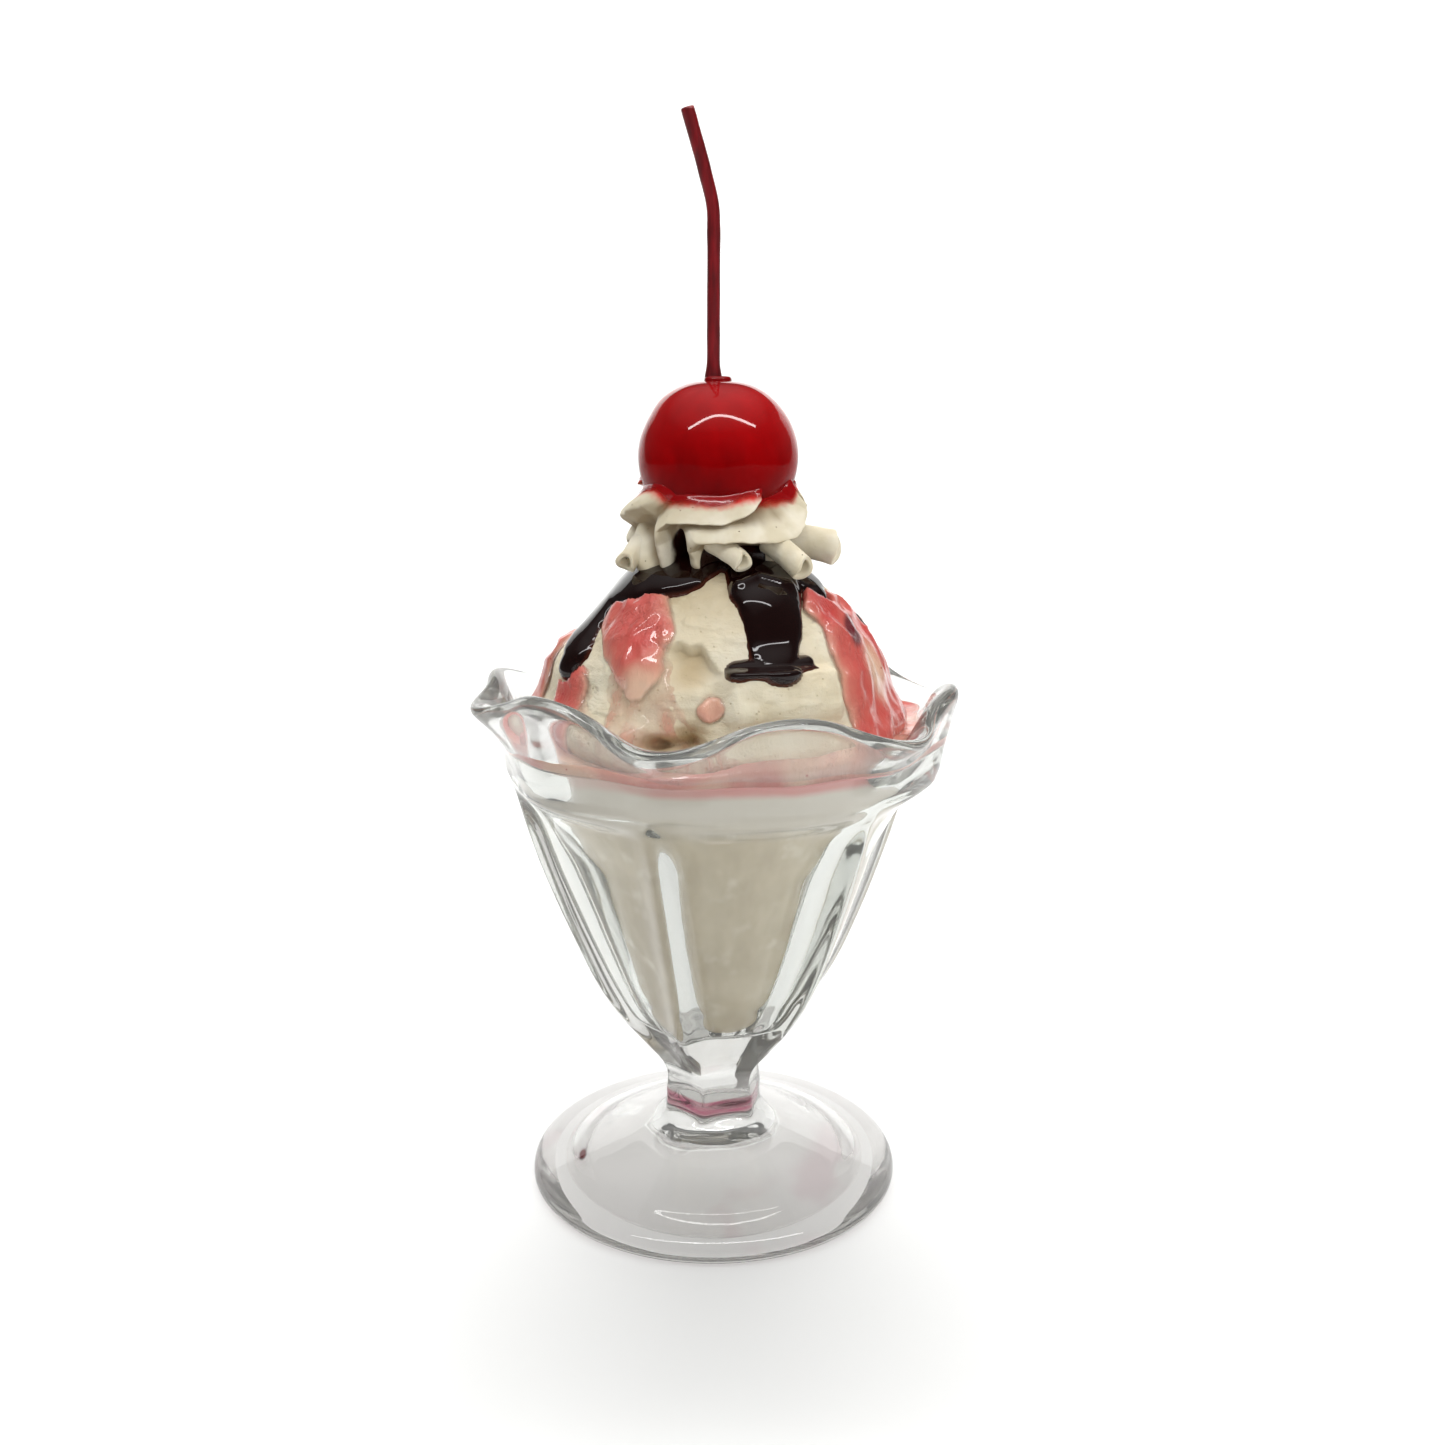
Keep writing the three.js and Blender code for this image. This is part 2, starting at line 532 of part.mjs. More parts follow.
function cherryGeometry() {
  const rows = [];
  for (let elevation = -80; elevation <= 76; elevation += fine.cherryRows) {
    const up = degToRad(elevation);
    const reach = cherry.radius - dimple.depth * bell(90 - elevation, dimple.reach);
    const [across, along] = [reach * Math.cos(up), reach * Math.sin(up)];
    rows.push(azimuths(fine.cherry).map((azimuth) => polar(azimuth, across, along)));
  }
  const top = cherry.top - cherry.z;
  const collarRows = [[collar.radius, top - collar.height], [collar.radius - collar.bevel, top]];
  for (const [radius, height] of collarRows) {
    rows.push(azimuths(fine.cherry).map((azimuth) => polar(azimuth, radius, height)));
  }
  return closedSurface(new THREE.Vector3(0, 0, -cherry.radius), rows, new THREE.Vector3(0, 0, top))
    .translate(cherry.x, cherry.y, cherry.z);
}

function stalkGeometry() {
  const path = new THREE.CatmullRomCurve3(stalkPath.map(([x, height]) => new THREE.Vector3(x, 0, height)));
  const outline = new THREE.Shape().absarc(0, 0, stalk.radius, 0, 2 * Math.PI);
  return new THREE.ExtrudeGeometry(outline, {
    steps: 12, curveSegments: stalk.sides, bevelEnabled: false, extrudePath: path,
  });
}

// ---- Assembly ----

const materials = {
  glass: { color: 0xdfe5e0, roughness: 0.03, metalness: 0, transparent: true, opacity: 0.35 },
  iceCream: { color: 0xd9cfb8, roughness: 0.6, metalness: 0 },
  fudge: { color: 0x1c0604, roughness: 0.12, metalness: 0 },
  strawberry: { color: 0xd9646c, roughness: 0.12, metalness: 0 },
  cream: { color: 0xdad2bb, roughness: 0.65, metalness: 0 },
  cherry: { color: 0xa80010, roughness: 0.08, metalness: 0 },
  stalk: { color: 0x5c040c, roughness: 0.35, metalness: 0 },
};

function piece(name, geometry, finish) {
  const mesh = new THREE.Mesh(geometry, new THREE.MeshStandardMaterial(finish));
  mesh.name = name;
  return mesh;
}

const sundae = new THREE.Group();
sundae.add(
  piece('sundae_dish', dishGeometry(), materials.glass),
  piece('ice_cream_fill', fillGeometry(), materials.iceCream),
  piece('ice_cream_scoop', scoopShell(() => 0), materials.iceCream),
  piece('fudge_sauce', fudgeGeometry(), materials.fudge),
  piece('strawberry_sauce', strawberryGeometry(), materials.strawberry),
  piece('whipped_cream', creamGeometry(), materials.cream),
  piece('cherry', cherryGeometry(), materials.cherry),
  piece('cherry_stalk', stalkGeometry(), materials.stalk),
);

export default sundae;
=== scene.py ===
# %% [markdown]
# # An ice cream sundae in a pressed-glass dish
#
# This is a display piece: a real pressed-glass tulip dish, filled with cast plaster and resin that look
# like ice cream, two sauces, piped cream and a cherry. The solid of every piece exists already and is
# loaded as a fixed frame. Here each one gets its fine surface and its finish. Every length in this file
# is in millimetres, and it is divided by `METRE` only where Blender takes it over.

# %% The frame
import math
from itertools import product

import bpy
import mathutils
import numpy as np
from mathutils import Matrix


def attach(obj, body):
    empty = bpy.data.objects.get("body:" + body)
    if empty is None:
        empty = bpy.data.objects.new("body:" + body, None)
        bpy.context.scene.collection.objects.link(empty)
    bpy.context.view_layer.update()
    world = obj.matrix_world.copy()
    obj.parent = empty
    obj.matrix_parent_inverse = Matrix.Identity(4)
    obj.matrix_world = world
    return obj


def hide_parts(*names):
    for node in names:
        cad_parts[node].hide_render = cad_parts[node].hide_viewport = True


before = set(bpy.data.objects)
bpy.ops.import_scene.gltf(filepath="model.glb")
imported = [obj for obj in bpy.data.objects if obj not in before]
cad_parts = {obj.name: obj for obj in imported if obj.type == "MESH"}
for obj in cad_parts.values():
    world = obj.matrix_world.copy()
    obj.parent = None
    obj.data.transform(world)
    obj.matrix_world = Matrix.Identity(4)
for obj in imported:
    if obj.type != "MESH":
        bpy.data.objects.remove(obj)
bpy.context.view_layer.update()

METRE = 1000.0        # millimetres in a metre
ROOT = "root"         # the one body that every piece rides on

print("nodes:", ", ".join(sorted(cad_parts)))

# %% [markdown]
# ## Places on a round thing
#
# The dish, the ball and the swirl of cream are all round an upright axis, so a place is easiest to give
# by its azimuth: 0 is the front, and it grows towards the right. All the shape functions take whole numpy
# arrays, because a surface has about a hundred thousand points and Python's own loops would be slow. A
# soft dent, a bulge or a patch of colour is a dab: it has an azimuth, a height, a reach both ways and a
# strength.


# %% Azimuths and dabs
def all_round(columns):
    """The azimuths of a ring of points."""
    return np.arange(columns) * 360 / columns


def polar(azimuth, radius, height):
    """Points at a distance from the upright axis, stacked in the last dimension."""
    angle = np.radians(azimuth)
    parts = np.broadcast_arrays(radius * np.sin(angle), -radius * np.cos(angle), height)
    return np.stack(parts, axis=-1).astype(float)


def turn(azimuth, start):
    """The shortest way round from one azimuth to another, in degrees."""
    return (azimuth - start + 540) % 360 - 180


def lerp(low, high, share):
    return low + (high - low) * share


def smoothstep(value, low, high):
    share = np.clip((value - low) / (high - low), 0, 1)
    return share * share * (3 - 2 * share)


def window(value, start, full, fade, end):
    """1 from full to fade, 0 before the start and after the end, and smooth between them."""
    return smoothstep(value, start, full) * (1 - smoothstep(value, fade, end))


def bell(offset, reach):
    return np.exp(-((offset / reach) ** 2))


def dabs(azimuth, height, places):
    """The sum of soft dabs, each with its azimuth, height, reach both ways and strength."""
    return sum(strength * bell(turn(azimuth, at), reach) * bell(height - level, rise)
               for at, level, reach, rise, strength in places)


print("from the right side to the left it is", turn(-90, 90), "degrees")


# %% Smooth curves
def between_rows(rows, steps):
    """A smooth surface through rows of points: Catmull-Rom curves, with this many steps from row to row."""
    rows = [np.asarray(row, float) for row in rows]
    made = []
    for index in range(len(rows) - 1):
        before, low, high = rows[max(index - 1, 0)], rows[index], rows[index + 1]
        after = rows[min(index + 2, len(rows) - 1)]
        leave, arrive = (high - before) / 2, (after - low) / 2
        for step in range(steps):
            t = step / steps
            made.append((2 * t**3 - 3 * t**2 + 1) * low + (t**3 - 2 * t**2 + t) * leave
                        + (3 * t**2 - 2 * t**3) * high + (t**3 - t**2) * arrive)
    return np.array(made + [rows[-1]])


def smooth_profile(pairs):
    """A smooth curve through (height, radius) pairs, as a function of height."""
    heights, radii = between_rows(pairs, 12).T
    return lambda height: np.interp(height, heights, radii)


print("a curve through 3 rows with 4 steps has", len(between_rows([(0, 0), (1, 2), (2, 0)], 4)), "points")

# %% [markdown]
# ## Unevenness
#
# Nothing cast or poured is perfectly even. Blender has noise textures for materials, but relief that
# should show at an edge has to be in the mesh. This lattice noise gives every corner of a grid a random
# height and blends between the corners, so one number, the size of a bump in millimetres, says how it
# looks. The seed makes it the same on every run.


# %% Noise for meshes
def lattice_noise(points, size, seed):
    """Smooth random heights from -1 to 1, in bumps of about this size."""
    heights = np.random.default_rng(seed).uniform(-1, 1, 4096)
    scaled = np.asarray(points, float) / size
    cell = np.floor(scaled).astype(np.int64)
    part = scaled - cell
    part = part * part * (3 - 2 * part)
    total = 0
    for corner in product((0, 1), repeat=3):
        index = ((cell + corner) @ np.array([73856093, 19349663, 83492791])) % len(heights)
        weight = np.prod(np.where(np.array(corner) == 1, part, 1 - part), axis=-1)
        total = total + weight * heights[index]
    return total


def layered_noise(points, *layers):
    """A sum of noises, each with its height, bump size and seed."""
    return sum(height * lattice_noise(points, size, seed) for height, size, seed in layers)


print("noise at three places:", lattice_noise([(0, 0, 0), (1, 0, 0), (2, 0, 0)], 3.0, seed=1).round(2))

# %% [markdown]
# ## From rows of points to a mesh
#
# A surface here is a grid: rows that go round the piece, one above the other. Joining each point to its
# neighbours gives clean four-sided faces that shade smoothly, and a fan over the first and last row makes
# a solid. A finish can also read named numbers, called fields, that the mesh holds at each point.


# %% Solids from grids
def mesh_object(name, points, faces, finish):
    """A smooth mesh in the scene."""
    mesh = bpy.data.meshes.new(name)
    mesh.from_pydata((np.asarray(points) / METRE).tolist(), [], faces)
    mesh.validate()
    mesh.polygons.foreach_set("use_smooth", [True] * len(mesh.polygons))
    mesh.materials.append(finish)
    made = bpy.data.objects.new(name, mesh)
    bpy.context.scene.collection.objects.link(made)
    print(f"{name}: {len(mesh.vertices)} points, {len(mesh.polygons)} faces")
    return made


def piece(name, points, faces, finish, slot, fields=None, node=None):
    """A mesh that is part of the sundae. Points at the end that a field doesn't reach get 0."""
    made = mesh_object(name, points, faces, finish)
    for field, values in (fields or {}).items():
        values = np.asarray(values, np.float32).ravel()
        attribute = made.data.attributes.new(field, "FLOAT", "POINT")
        attribute.data.foreach_set("value", np.pad(values, (0, len(points) - len(values))))
    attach(made, ROOT)
    if node:
        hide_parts(node)
    return made


def grid_faces(rows, columns, start=0):
    """Four-sided faces of a grid whose rows close round the piece and go up its outside."""
    low = start + np.arange(rows - 1)[:, None] * columns + np.arange(columns)[None, :]
    beside = np.roll(low, -1, axis=1)
    return np.stack([low, beside, beside + columns, low + columns], axis=-1).reshape(-1, 4).tolist()


def closed(grid, start=0):
    """Points and faces of a solid: the grid, and a fan over its first and last row."""
    rows, columns = grid.shape[:2]
    faces = grid_faces(rows, columns, start)
    first, last = start + rows * columns, start + rows * columns + 1
    top = start + (rows - 1) * columns
    for side in range(columns):
        beside = (side + 1) % columns
        faces.append([first, start + beside, start + side])
        faces.append([last, top + side, top + beside])
    return np.concatenate([grid.reshape(-1, 3), [grid[0].mean(axis=0), grid[-1].mean(axis=0)]]), faces


def outward(grid):
    """Unit normals of a grid that closes round the piece."""
    across = np.roll(grid, -1, axis=1) - np.roll(grid, 1, axis=1)
    normals = np.cross(across, np.gradient(grid, axis=0))
    return normals / np.maximum(np.linalg.norm(normals, axis=-1, keepdims=True), 1e-9)


def roughened(grid, height, size, seed, where=1.0):
    """The grid with noise along its normals."""
    return grid + outward(grid) * (height * lattice_noise(grid, size, seed) * where)[..., None]


print("a grid of 3 rows and 8 columns has", len(grid_faces(3, 8)), "faces")

# %% [markdown]
# Sauce is different, because it covers only part of what it lies on. `skin` keeps the cells of the grid
# that the sauce covers, makes an outer and an inner side of them and joins the two along the edge.


# %% Skins
def skin(outer, inner, covered):
    """Points and faces over the cells with four covered corners, and which points of the grid they are."""
    rows, columns = covered.shape
    beside = np.roll(covered, -1, axis=1)
    cells = covered[:-1] & covered[1:] & beside[:-1] & beside[1:]
    index = np.arange(rows * columns).reshape(rows, columns)
    next_index = np.roll(index, -1, axis=1)
    corners = np.stack([index[:-1], next_index[:-1], next_index[1:], index[1:]], axis=-1)
    offset = rows * columns
    faces = np.concatenate([corners[cells], corners[cells][:, ::-1] + offset]).tolist()
    no_cells = np.zeros((1, columns), bool)
    open_sides = {(0, 1): ~np.vstack([no_cells, cells[:-1]]), (1, 2): ~np.roll(cells, -1, axis=1),
                  (2, 3): ~np.vstack([cells[1:], no_cells]), (3, 0): ~np.roll(cells, 1, axis=1)}
    for (a, b), is_open in open_sides.items():
        edge = corners[cells & is_open]
        wall = [edge[:, b], edge[:, a], edge[:, a] + offset, edge[:, b] + offset]
        faces += np.stack(wall, axis=-1).tolist()
    points = np.concatenate([outer.reshape(-1, 3), inner.reshape(-1, 3)])
    used = np.unique(np.array(faces).ravel())
    renumber = np.zeros(len(points), np.int64)
    renumber[used] = np.arange(len(used))
    return points[used], renumber[np.array(faces)].tolist(), used % offset


few = np.zeros((3, 8, 3))
few_covered = np.arange(24).reshape(3, 8) % 8 < 2
print("a skin over 2 covered cells has", len(skin(few, few, few_covered)[1]), "faces")

# %% [markdown]
# ## Shader maths as Python
#
# A material in Blender is a graph of nodes, and even a short formula takes many of them. `Signal` wraps
# the output of one node and overloads Python's operators, so that `1 - mask * 0.5` adds the nodes that
# work it out. Numbers go through Math nodes, colours and vectors through Mix and Vector Math.
# `Finish.node` makes every other node: its settings first, then its sockets.


# %% Signals
class Signal:
    """The output of a shader node, with Python's operators."""

    def __init__(self, finish, socket):
        self.finish, self.socket = finish, socket

    def _work(self, operation, first, second):
        kinds = [getattr(getattr(side, "socket", None), "type", None) for side in (first, second)]
        sizes = [len(side) if isinstance(side, tuple) else 0 for side in (first, second)]
        if "RGBA" in kinds or 4 in sizes:
            settings = {"data_type": "RGBA", "blend_type": operation}
            return self.finish.node("ShaderNodeMix", settings, {0: 1.0, 6: first, 7: second}, output=2)
        kind = "ShaderNodeVectorMath" if "VECTOR" in kinds or 3 in sizes else "ShaderNodeMath"
        return self.finish.node(kind, {"operation": operation}, {0: first, 1: second})

    def __add__(self, other):
        return self._work("ADD", self, other)

    def __radd__(self, other):
        return self._work("ADD", other, self)

    def __sub__(self, other):
        return self._work("SUBTRACT", self, other)

    def __rsub__(self, other):
        return self._work("SUBTRACT", other, self)

    def __mul__(self, other):
        return self._work("MULTIPLY", self, other)

    def __rmul__(self, other):
        return self._work("MULTIPLY", other, self)

    def between(self, low, high):
        """0 below low, 1 above high and smooth between them."""
        settings = {"interpolation_type": "SMOOTHSTEP"}
        return self.finish.node("ShaderNodeMapRange", settings, {0: self, 1: low, 2: high})

    def mix(self, low, high):
        """One colour where the signal is 0, and the other where it is 1."""
        return self.finish.node("ShaderNodeMix", {"data_type": "RGBA"}, {0: self, 6: low, 7: high}, output=2)


def colour(red, green, blue):
    """A colour as it looks on a screen, from 0 to 255, as the linear light that shaders work in."""
    shown = np.array((red, green, blue)) / 255
    light = np.where(shown <= 0.04045, shown / 12.92, ((shown + 0.055) / 1.055) ** 2.4)
    return (*light.tolist(), 1.0)


print("middle grey on a screen is", round(colour(128, 128, 128)[0], 3), "of the light")


# %% Finishes
class Finish:
    """One material and the nodes in it."""

    def __init__(self, name):
        self.material = bpy.data.materials.new(name)
        self.material.use_nodes = True
        self.tree = self.material.node_tree
        self.tree.nodes.clear()

    def node(self, kind, settings=None, sockets=None, output=0):
        made = self.tree.nodes.new(kind)
        for setting, value in (settings or {}).items():
            setattr(made, setting, value)
        for key, value in (sockets or {}).items():
            if isinstance(value, Signal):
                self.tree.links.new(value.socket, made.inputs[key])
            else:
                made.inputs[key].default_value = value
        return Signal(self, made.outputs[output])

    def place(self):
        """Where the surface is, in millimetres."""
        spot = self.node("ShaderNodeTexCoord", output="Object")
        return self.node("ShaderNodeVectorMath", {"operation": "SCALE"}, {0: spot, "Scale": METRE})

    def axis(self, place, name):
        return self.node("ShaderNodeSeparateXYZ", None, {0: place}, output=name)

    def noise(self, place, size, detail=2.0, roughness=0.5, distortion=0.0):
        """Cloudy noise from 0 to 1, in patches of about this many millimetres."""
        sockets = {"Vector": place, "Scale": 1 / size, "Detail": detail, "Roughness": roughness,
                   "Distortion": distortion}
        return self.node("ShaderNodeTexNoise", None, sockets)

    def spots(self, place, size):
        """Distance from scattered points, as a share of their spacing."""
        return self.node("ShaderNodeTexVoronoi", None, {"Vector": place, "Scale": 1 / size})

    def field(self, name):
        """A number that the mesh holds at each point."""
        return self.node("ShaderNodeAttribute", {"attribute_name": name}, output="Fac")

    def bump(self, height, depth):
        """A normal from a height signal, whose whole range is this deep in millimetres."""
        sockets = {"Height": height, "Distance": depth / METRE, "Strength": 1.0}
        return self.node("ShaderNodeBump", None, sockets)

    def principled(self, **sockets):
        """The shader for nearly everything, with base_color for its socket Base Color and so on."""
        named = {}
        for key, value in sockets.items():
            named[key.replace("_", " ").title().replace("Ior", "IOR")] = value
        return self.node("ShaderNodeBsdfPrincipled", None, named)

    def blend(self, share, first, second):
        """One shader where the share is 0, and the other where it is 1."""
        return self.node("ShaderNodeMixShader", None, {0: share, 1: first, 2: second})

    def show(self, surface, volume=None):
        out = self.tree.nodes.new("ShaderNodeOutputMaterial")
        self.tree.links.new(surface.socket, out.inputs["Surface"])
        if volume:
            self.tree.links.new(volume.socket, out.inputs["Volume"])
        print("finish:", self.material.name, "with", len(self.tree.nodes), "nodes")
        return self.material


# %% [markdown]
# ## Pressed glass
#
# The dish is soda-lime glass, pressed in a mould: clear, greyer where it is thick, and not quite flat, so
# that what is behind it wobbles. Principled with full transmission bends light properly. The trouble is
# light from the lamps, which has to pass the glass before it reaches the ice cream. Path tracing finds
# that way only by luck, so for rays on their way to a lamp, and for soft light from the room, the glass
# is Transparent instead. The tint is in the volume, so it deepens with thickness as it does in real
# glass. A wavy pink band on the front of the stem, where it meets the foot, is a painted reflection of the
# red sauces in the bowl. A dried drop of sauce sits in the foot, and the foot has a faint pink blush.

# %% The glass finish
glass_tint = {"Color": colour(214, 213, 211), "Density": 50.0}
clear_colour = colour(250, 251, 250)
# painted reflection: a wavy pink band at the foot of the stem stands in for the red sauces seen in the glass
painted_sauce_reflection = {"low": 16.0, "high": 18.8, "soft": 0.5, "wave": 0.8, "colour": colour(196, 58, 100)}
blush = {"size": 15.0, "top": 5.0, "soft": 1.5, "share": 0.45, "colour": colour(216, 168, 184)}
dried_drop = {"place": (-26.0, -3.2, 5.7), "stretch": (1.0, 0.4, 0.8), "size": 0.9,
              "colour": colour(70, 22, 24)}
lamp_light = {"foot": colour(241, 239, 239), "walls": colour(238, 240, 238), "from": 6.0, "to": 26.0}


def glass_colour(finish, place, height):
    # the pink band is painted reflection of the sauces, on the front of the stem only
    band = (height.between(painted_sauce_reflection["low"] - painted_sauce_reflection["soft"], painted_sauce_reflection["low"])
            * (1 - height.between(painted_sauce_reflection["high"], painted_sauce_reflection["high"] + painted_sauce_reflection["soft"])))
    stripes = finish.noise(place * (0.3, 0.3, 2.6), 1.6, detail=2.0).between(0.3, 0.7)
    front = 1 - finish.axis(place, "Y").between(-1.0, 1.0)
    tint = (band * front * (0.75 + stripes * 0.25)).mix(clear_colour, painted_sauce_reflection["colour"])
    pink = finish.noise(place, blush["size"], detail=2.0).between(0.52, 0.68)
    pink = pink * (1 - height.between(blush["top"] - blush["soft"], blush["top"])) * blush["share"]
    tint = pink.mix(tint, blush["colour"])
    off_drop = finish.node("ShaderNodeVectorMath", {"operation": "DISTANCE"},
                           {0: place * dried_drop["stretch"], 1: dried_drop["place"]}, output="Value")
    clear_of_drop = off_drop.between(dried_drop["size"] * 0.6, dried_drop["size"] * 1.2)
    return clear_of_drop.mix(dried_drop["colour"], tint)


def glass_finish():
    finish = Finish("pressed_glass")
    place = finish.place()
    height = finish.axis(place, "Z") + (finish.noise(place, 9.0, detail=1.0) - 0.5) * painted_sauce_reflection["wave"]
    glass = finish.principled(base_color=glass_colour(finish, place, height), roughness=0.0, ior=1.5,
                              transmission_weight=0.94,
                              normal=finish.bump(finish.noise(place, 7.0, detail=1.0), 0.06))
    foot_clear = finish.node("ShaderNodeBsdfTransparent", None, {"Color": lamp_light["foot"]})
    wall_clear = finish.node("ShaderNodeBsdfTransparent", None, {"Color": lamp_light["walls"]})
    clear = finish.blend(height.between(lamp_light["from"], lamp_light["to"]), foot_clear, wall_clear)
    lit = finish.blend(finish.node("ShaderNodeLightPath", output="Is Shadow Ray"), glass, clear)
    surface = finish.blend(finish.node("ShaderNodeLightPath", output="Is Diffuse Ray"), lit, clear)
    return finish.show(surface, finish.node("ShaderNodeVolumeAbsorption", None, glass_tint))


pressed_glass = glass_finish()

# %% [markdown]
# ## The dish's shape
#
# A moulded dish like this has six flat panels with ribs between them, under a plain band whose rim waves
# up and down over each panel. The rib's radius follows one curve up the outside. At each height, the
# outline is a circle with six flats: both radii are combined with a high power, which follows the smaller
# one and rounds the corner where they meet. Beads lie on the ribs, and work like lenses. The foot is
# hollow underneath, and its dome bends the light into the bright lines round it. Rows of points go from
# the hollow under the foot, up the outside, over the lip and down the inside.

# %% Driving sizes of the dish
foot_hollow = [(7.0, 6.8), (13.0, 6.0), (18.0, 4.6), (22.0, 3.3), (24.6, 2.4), (26.6, 1.1), (28.0, 0.3)]
foot_ring = [(29.3, 0), (30.7, 0), (33.2, 0.1), (35.0, 0.3)]        # its inner half touches the table
foot_top = [(36.2, 0.8), (36.5, 2.2), (35.9, 3.9), (34.2, 5.2), (31.3, 6.1), (26, 7.5), (19, 9.8),
            (13.4, 12.0), (11.3, 13.1), (10.1, 14.2)]
stem = {"base": 15.6, "neck": 22.2, "radius": 9.7, "depth": 0.9}
bowl = {"lobes": 6, "lobe_azimuth": 17.5, "panel_top": 81.5, "band_bottom": 86.3, "floor": 35.3,
        "shift": 1.0, "settled": 55}
panel = {"depth": 0.85, "top_depth": 0.97, "shallow_from": 35.5, "shallow_to": 39.8, "sharpness": 60}
bead = {"height": 3.7, "half_width": 3.4, "turn": -4.5, "round": 0.4, "grows": (10, 24),
        "fades": (37.4, 40.2)}
rim = {"radius": 45.7, "height": 100.7, "wave": 2.7, "flare": -1.1, "flute": 1.0, "tilt": 1.5,
       "tilt_azimuth": -75, "wall": 3.7, "crown": 0.6}
rim_dips = [(-112, 24, -3.8), (130, 26, -1.8)]
band = {"radius": 40.8, "bulge": 1.3, "inner_radius": 35.5, "inner_bulge": 0.5, "ledge": 1.2, "curve": 1.45,
        "curve_wave": -0.35}
rib_radius = smooth_profile([(22.2, 9.8), (25, 10.9), (28.7, 13.8), (33, 17.5), (37.3, 20.8), (41.5, 23.5),
                             (45.7, 25.7), (49.9, 27.6), (58.2, 31.1), (66.4, 34.2), (74.5, 36.8),
                             (86.3, 40.0)])
inside_radius = smooth_profile([(35.3, 10.6), (36, 12.4), (38, 14.0), (41, 15.7), (45, 17.8), (53, 21.2),
                                (61, 24.4), (70, 28.1), (80, 32.5), (86.3, 35.5)])
print("rib radius at the top of the panels:", round(float(rib_radius(bowl["panel_top"])), 1))


# %% Outlines of the dish
def on_bowl(azimuth, radius, height):
    """The bowl sits a little to the right of its foot."""
    points = polar(azimuth, radius, height)
    points[..., 0] += bowl["shift"] * smoothstep(points[..., 2], stem["neck"], bowl["settled"])
    return points


def lobe(azimuth):
    """1 over the middle of a panel, -1 over a rib."""
    return np.cos(np.radians(bowl["lobes"] * (azimuth - bowl["lobe_azimuth"])))


def off_nearest(azimuth, first):
    """The way round to the nearest of six places, of which this is the first."""
    sector = 360 / bowl["lobes"]
    return turn(azimuth, first + sector * np.round((azimuth - first) / sector))


def panelled_radius(azimuth, round_radius, depth):
    flat = depth * round_radius / np.cos(np.radians(off_nearest(azimuth, bowl["lobe_azimuth"])))
    return (round_radius ** -panel["sharpness"] + flat ** -panel["sharpness"]) ** (-1 / panel["sharpness"])


def ribbed_radius(azimuth, crest):
    """A panelled outline whose ribs are beads: their flanks curl up to a narrow crest."""
    first = bowl["lobe_azimuth"] - 180 / bowl["lobes"] + bead["turn"]
    off_rib = np.abs(off_nearest(azimuth, first)) * np.radians(crest)
    height = bead["height"] * window(crest, *bead["grows"], *bead["fades"])
    off_rib = np.hypot(off_rib, bead["round"]) - bead["round"]
    low = crest - height
    depth = lerp(panel["depth"], panel["top_depth"],
                 smoothstep(crest, panel["shallow_from"], panel["shallow_to"]))
    return (panelled_radius(azimuth, low, depth * crest / low)
            + height * np.exp(-(off_rib / bead["half_width"]) ** 1.5))


def rim_height(azimuth):
    tilt = rim["tilt"] * np.cos(np.radians(azimuth - rim["tilt_azimuth"]))
    dips = sum(rise * bell(turn(azimuth, at), reach) for at, reach, rise in rim_dips)
    return rim["height"] + rim["wave"] * lobe(azimuth) + tilt + dips


def band_radius(azimuth, share, inside):
    """Radius of the band between the panels and the rim. Share 0 is its bottom and 1 the rim."""
    lobes = lobe(azimuth)
    bottom = band["radius"] + band["bulge"] * lobes
    top = rim["radius"] + rim["flare"] * lobes + rim["flute"] * lobe(2 * azimuth - bowl["lobe_azimuth"])
    if inside:
        bottom, top = band["inner_radius"] + band["inner_bulge"] * lobes, top - rim["wall"]
    return lerp(bottom, top, share ** (band["curve"] + band["curve_wave"] * lobes))


def inner_radius(azimuth, height):
    to_band = smoothstep(height, bowl["panel_top"], bowl["band_bottom"])
    below = lerp(inside_radius(height), band_radius(azimuth, 0, True), to_band)
    share = np.clip((height - bowl["band_bottom"]) / (rim_height(azimuth) - bowl["band_bottom"]), 0, 1)
    return np.where(height <= bowl["band_bottom"], below, band_radius(azimuth, share, True))


rim_line = rim_height(all_round(360))
print("the rim is", rim_line.min().round(1), "to", rim_line.max().round(1), "mm high")

# %% Rows of the dish
panel_heights = (stem["neck"], 25, 28.7, 33, 38, 43.5, 50, 58, 66.4, 72, 76, 79, bowl["panel_top"])
band_shares = (0, 0.3, 0.62, 0.92)
lip_shares = (0.3, 0.7)
inside_heights = (80, 70, 61, 53, 45, 41, 38, 36, bowl["floor"])


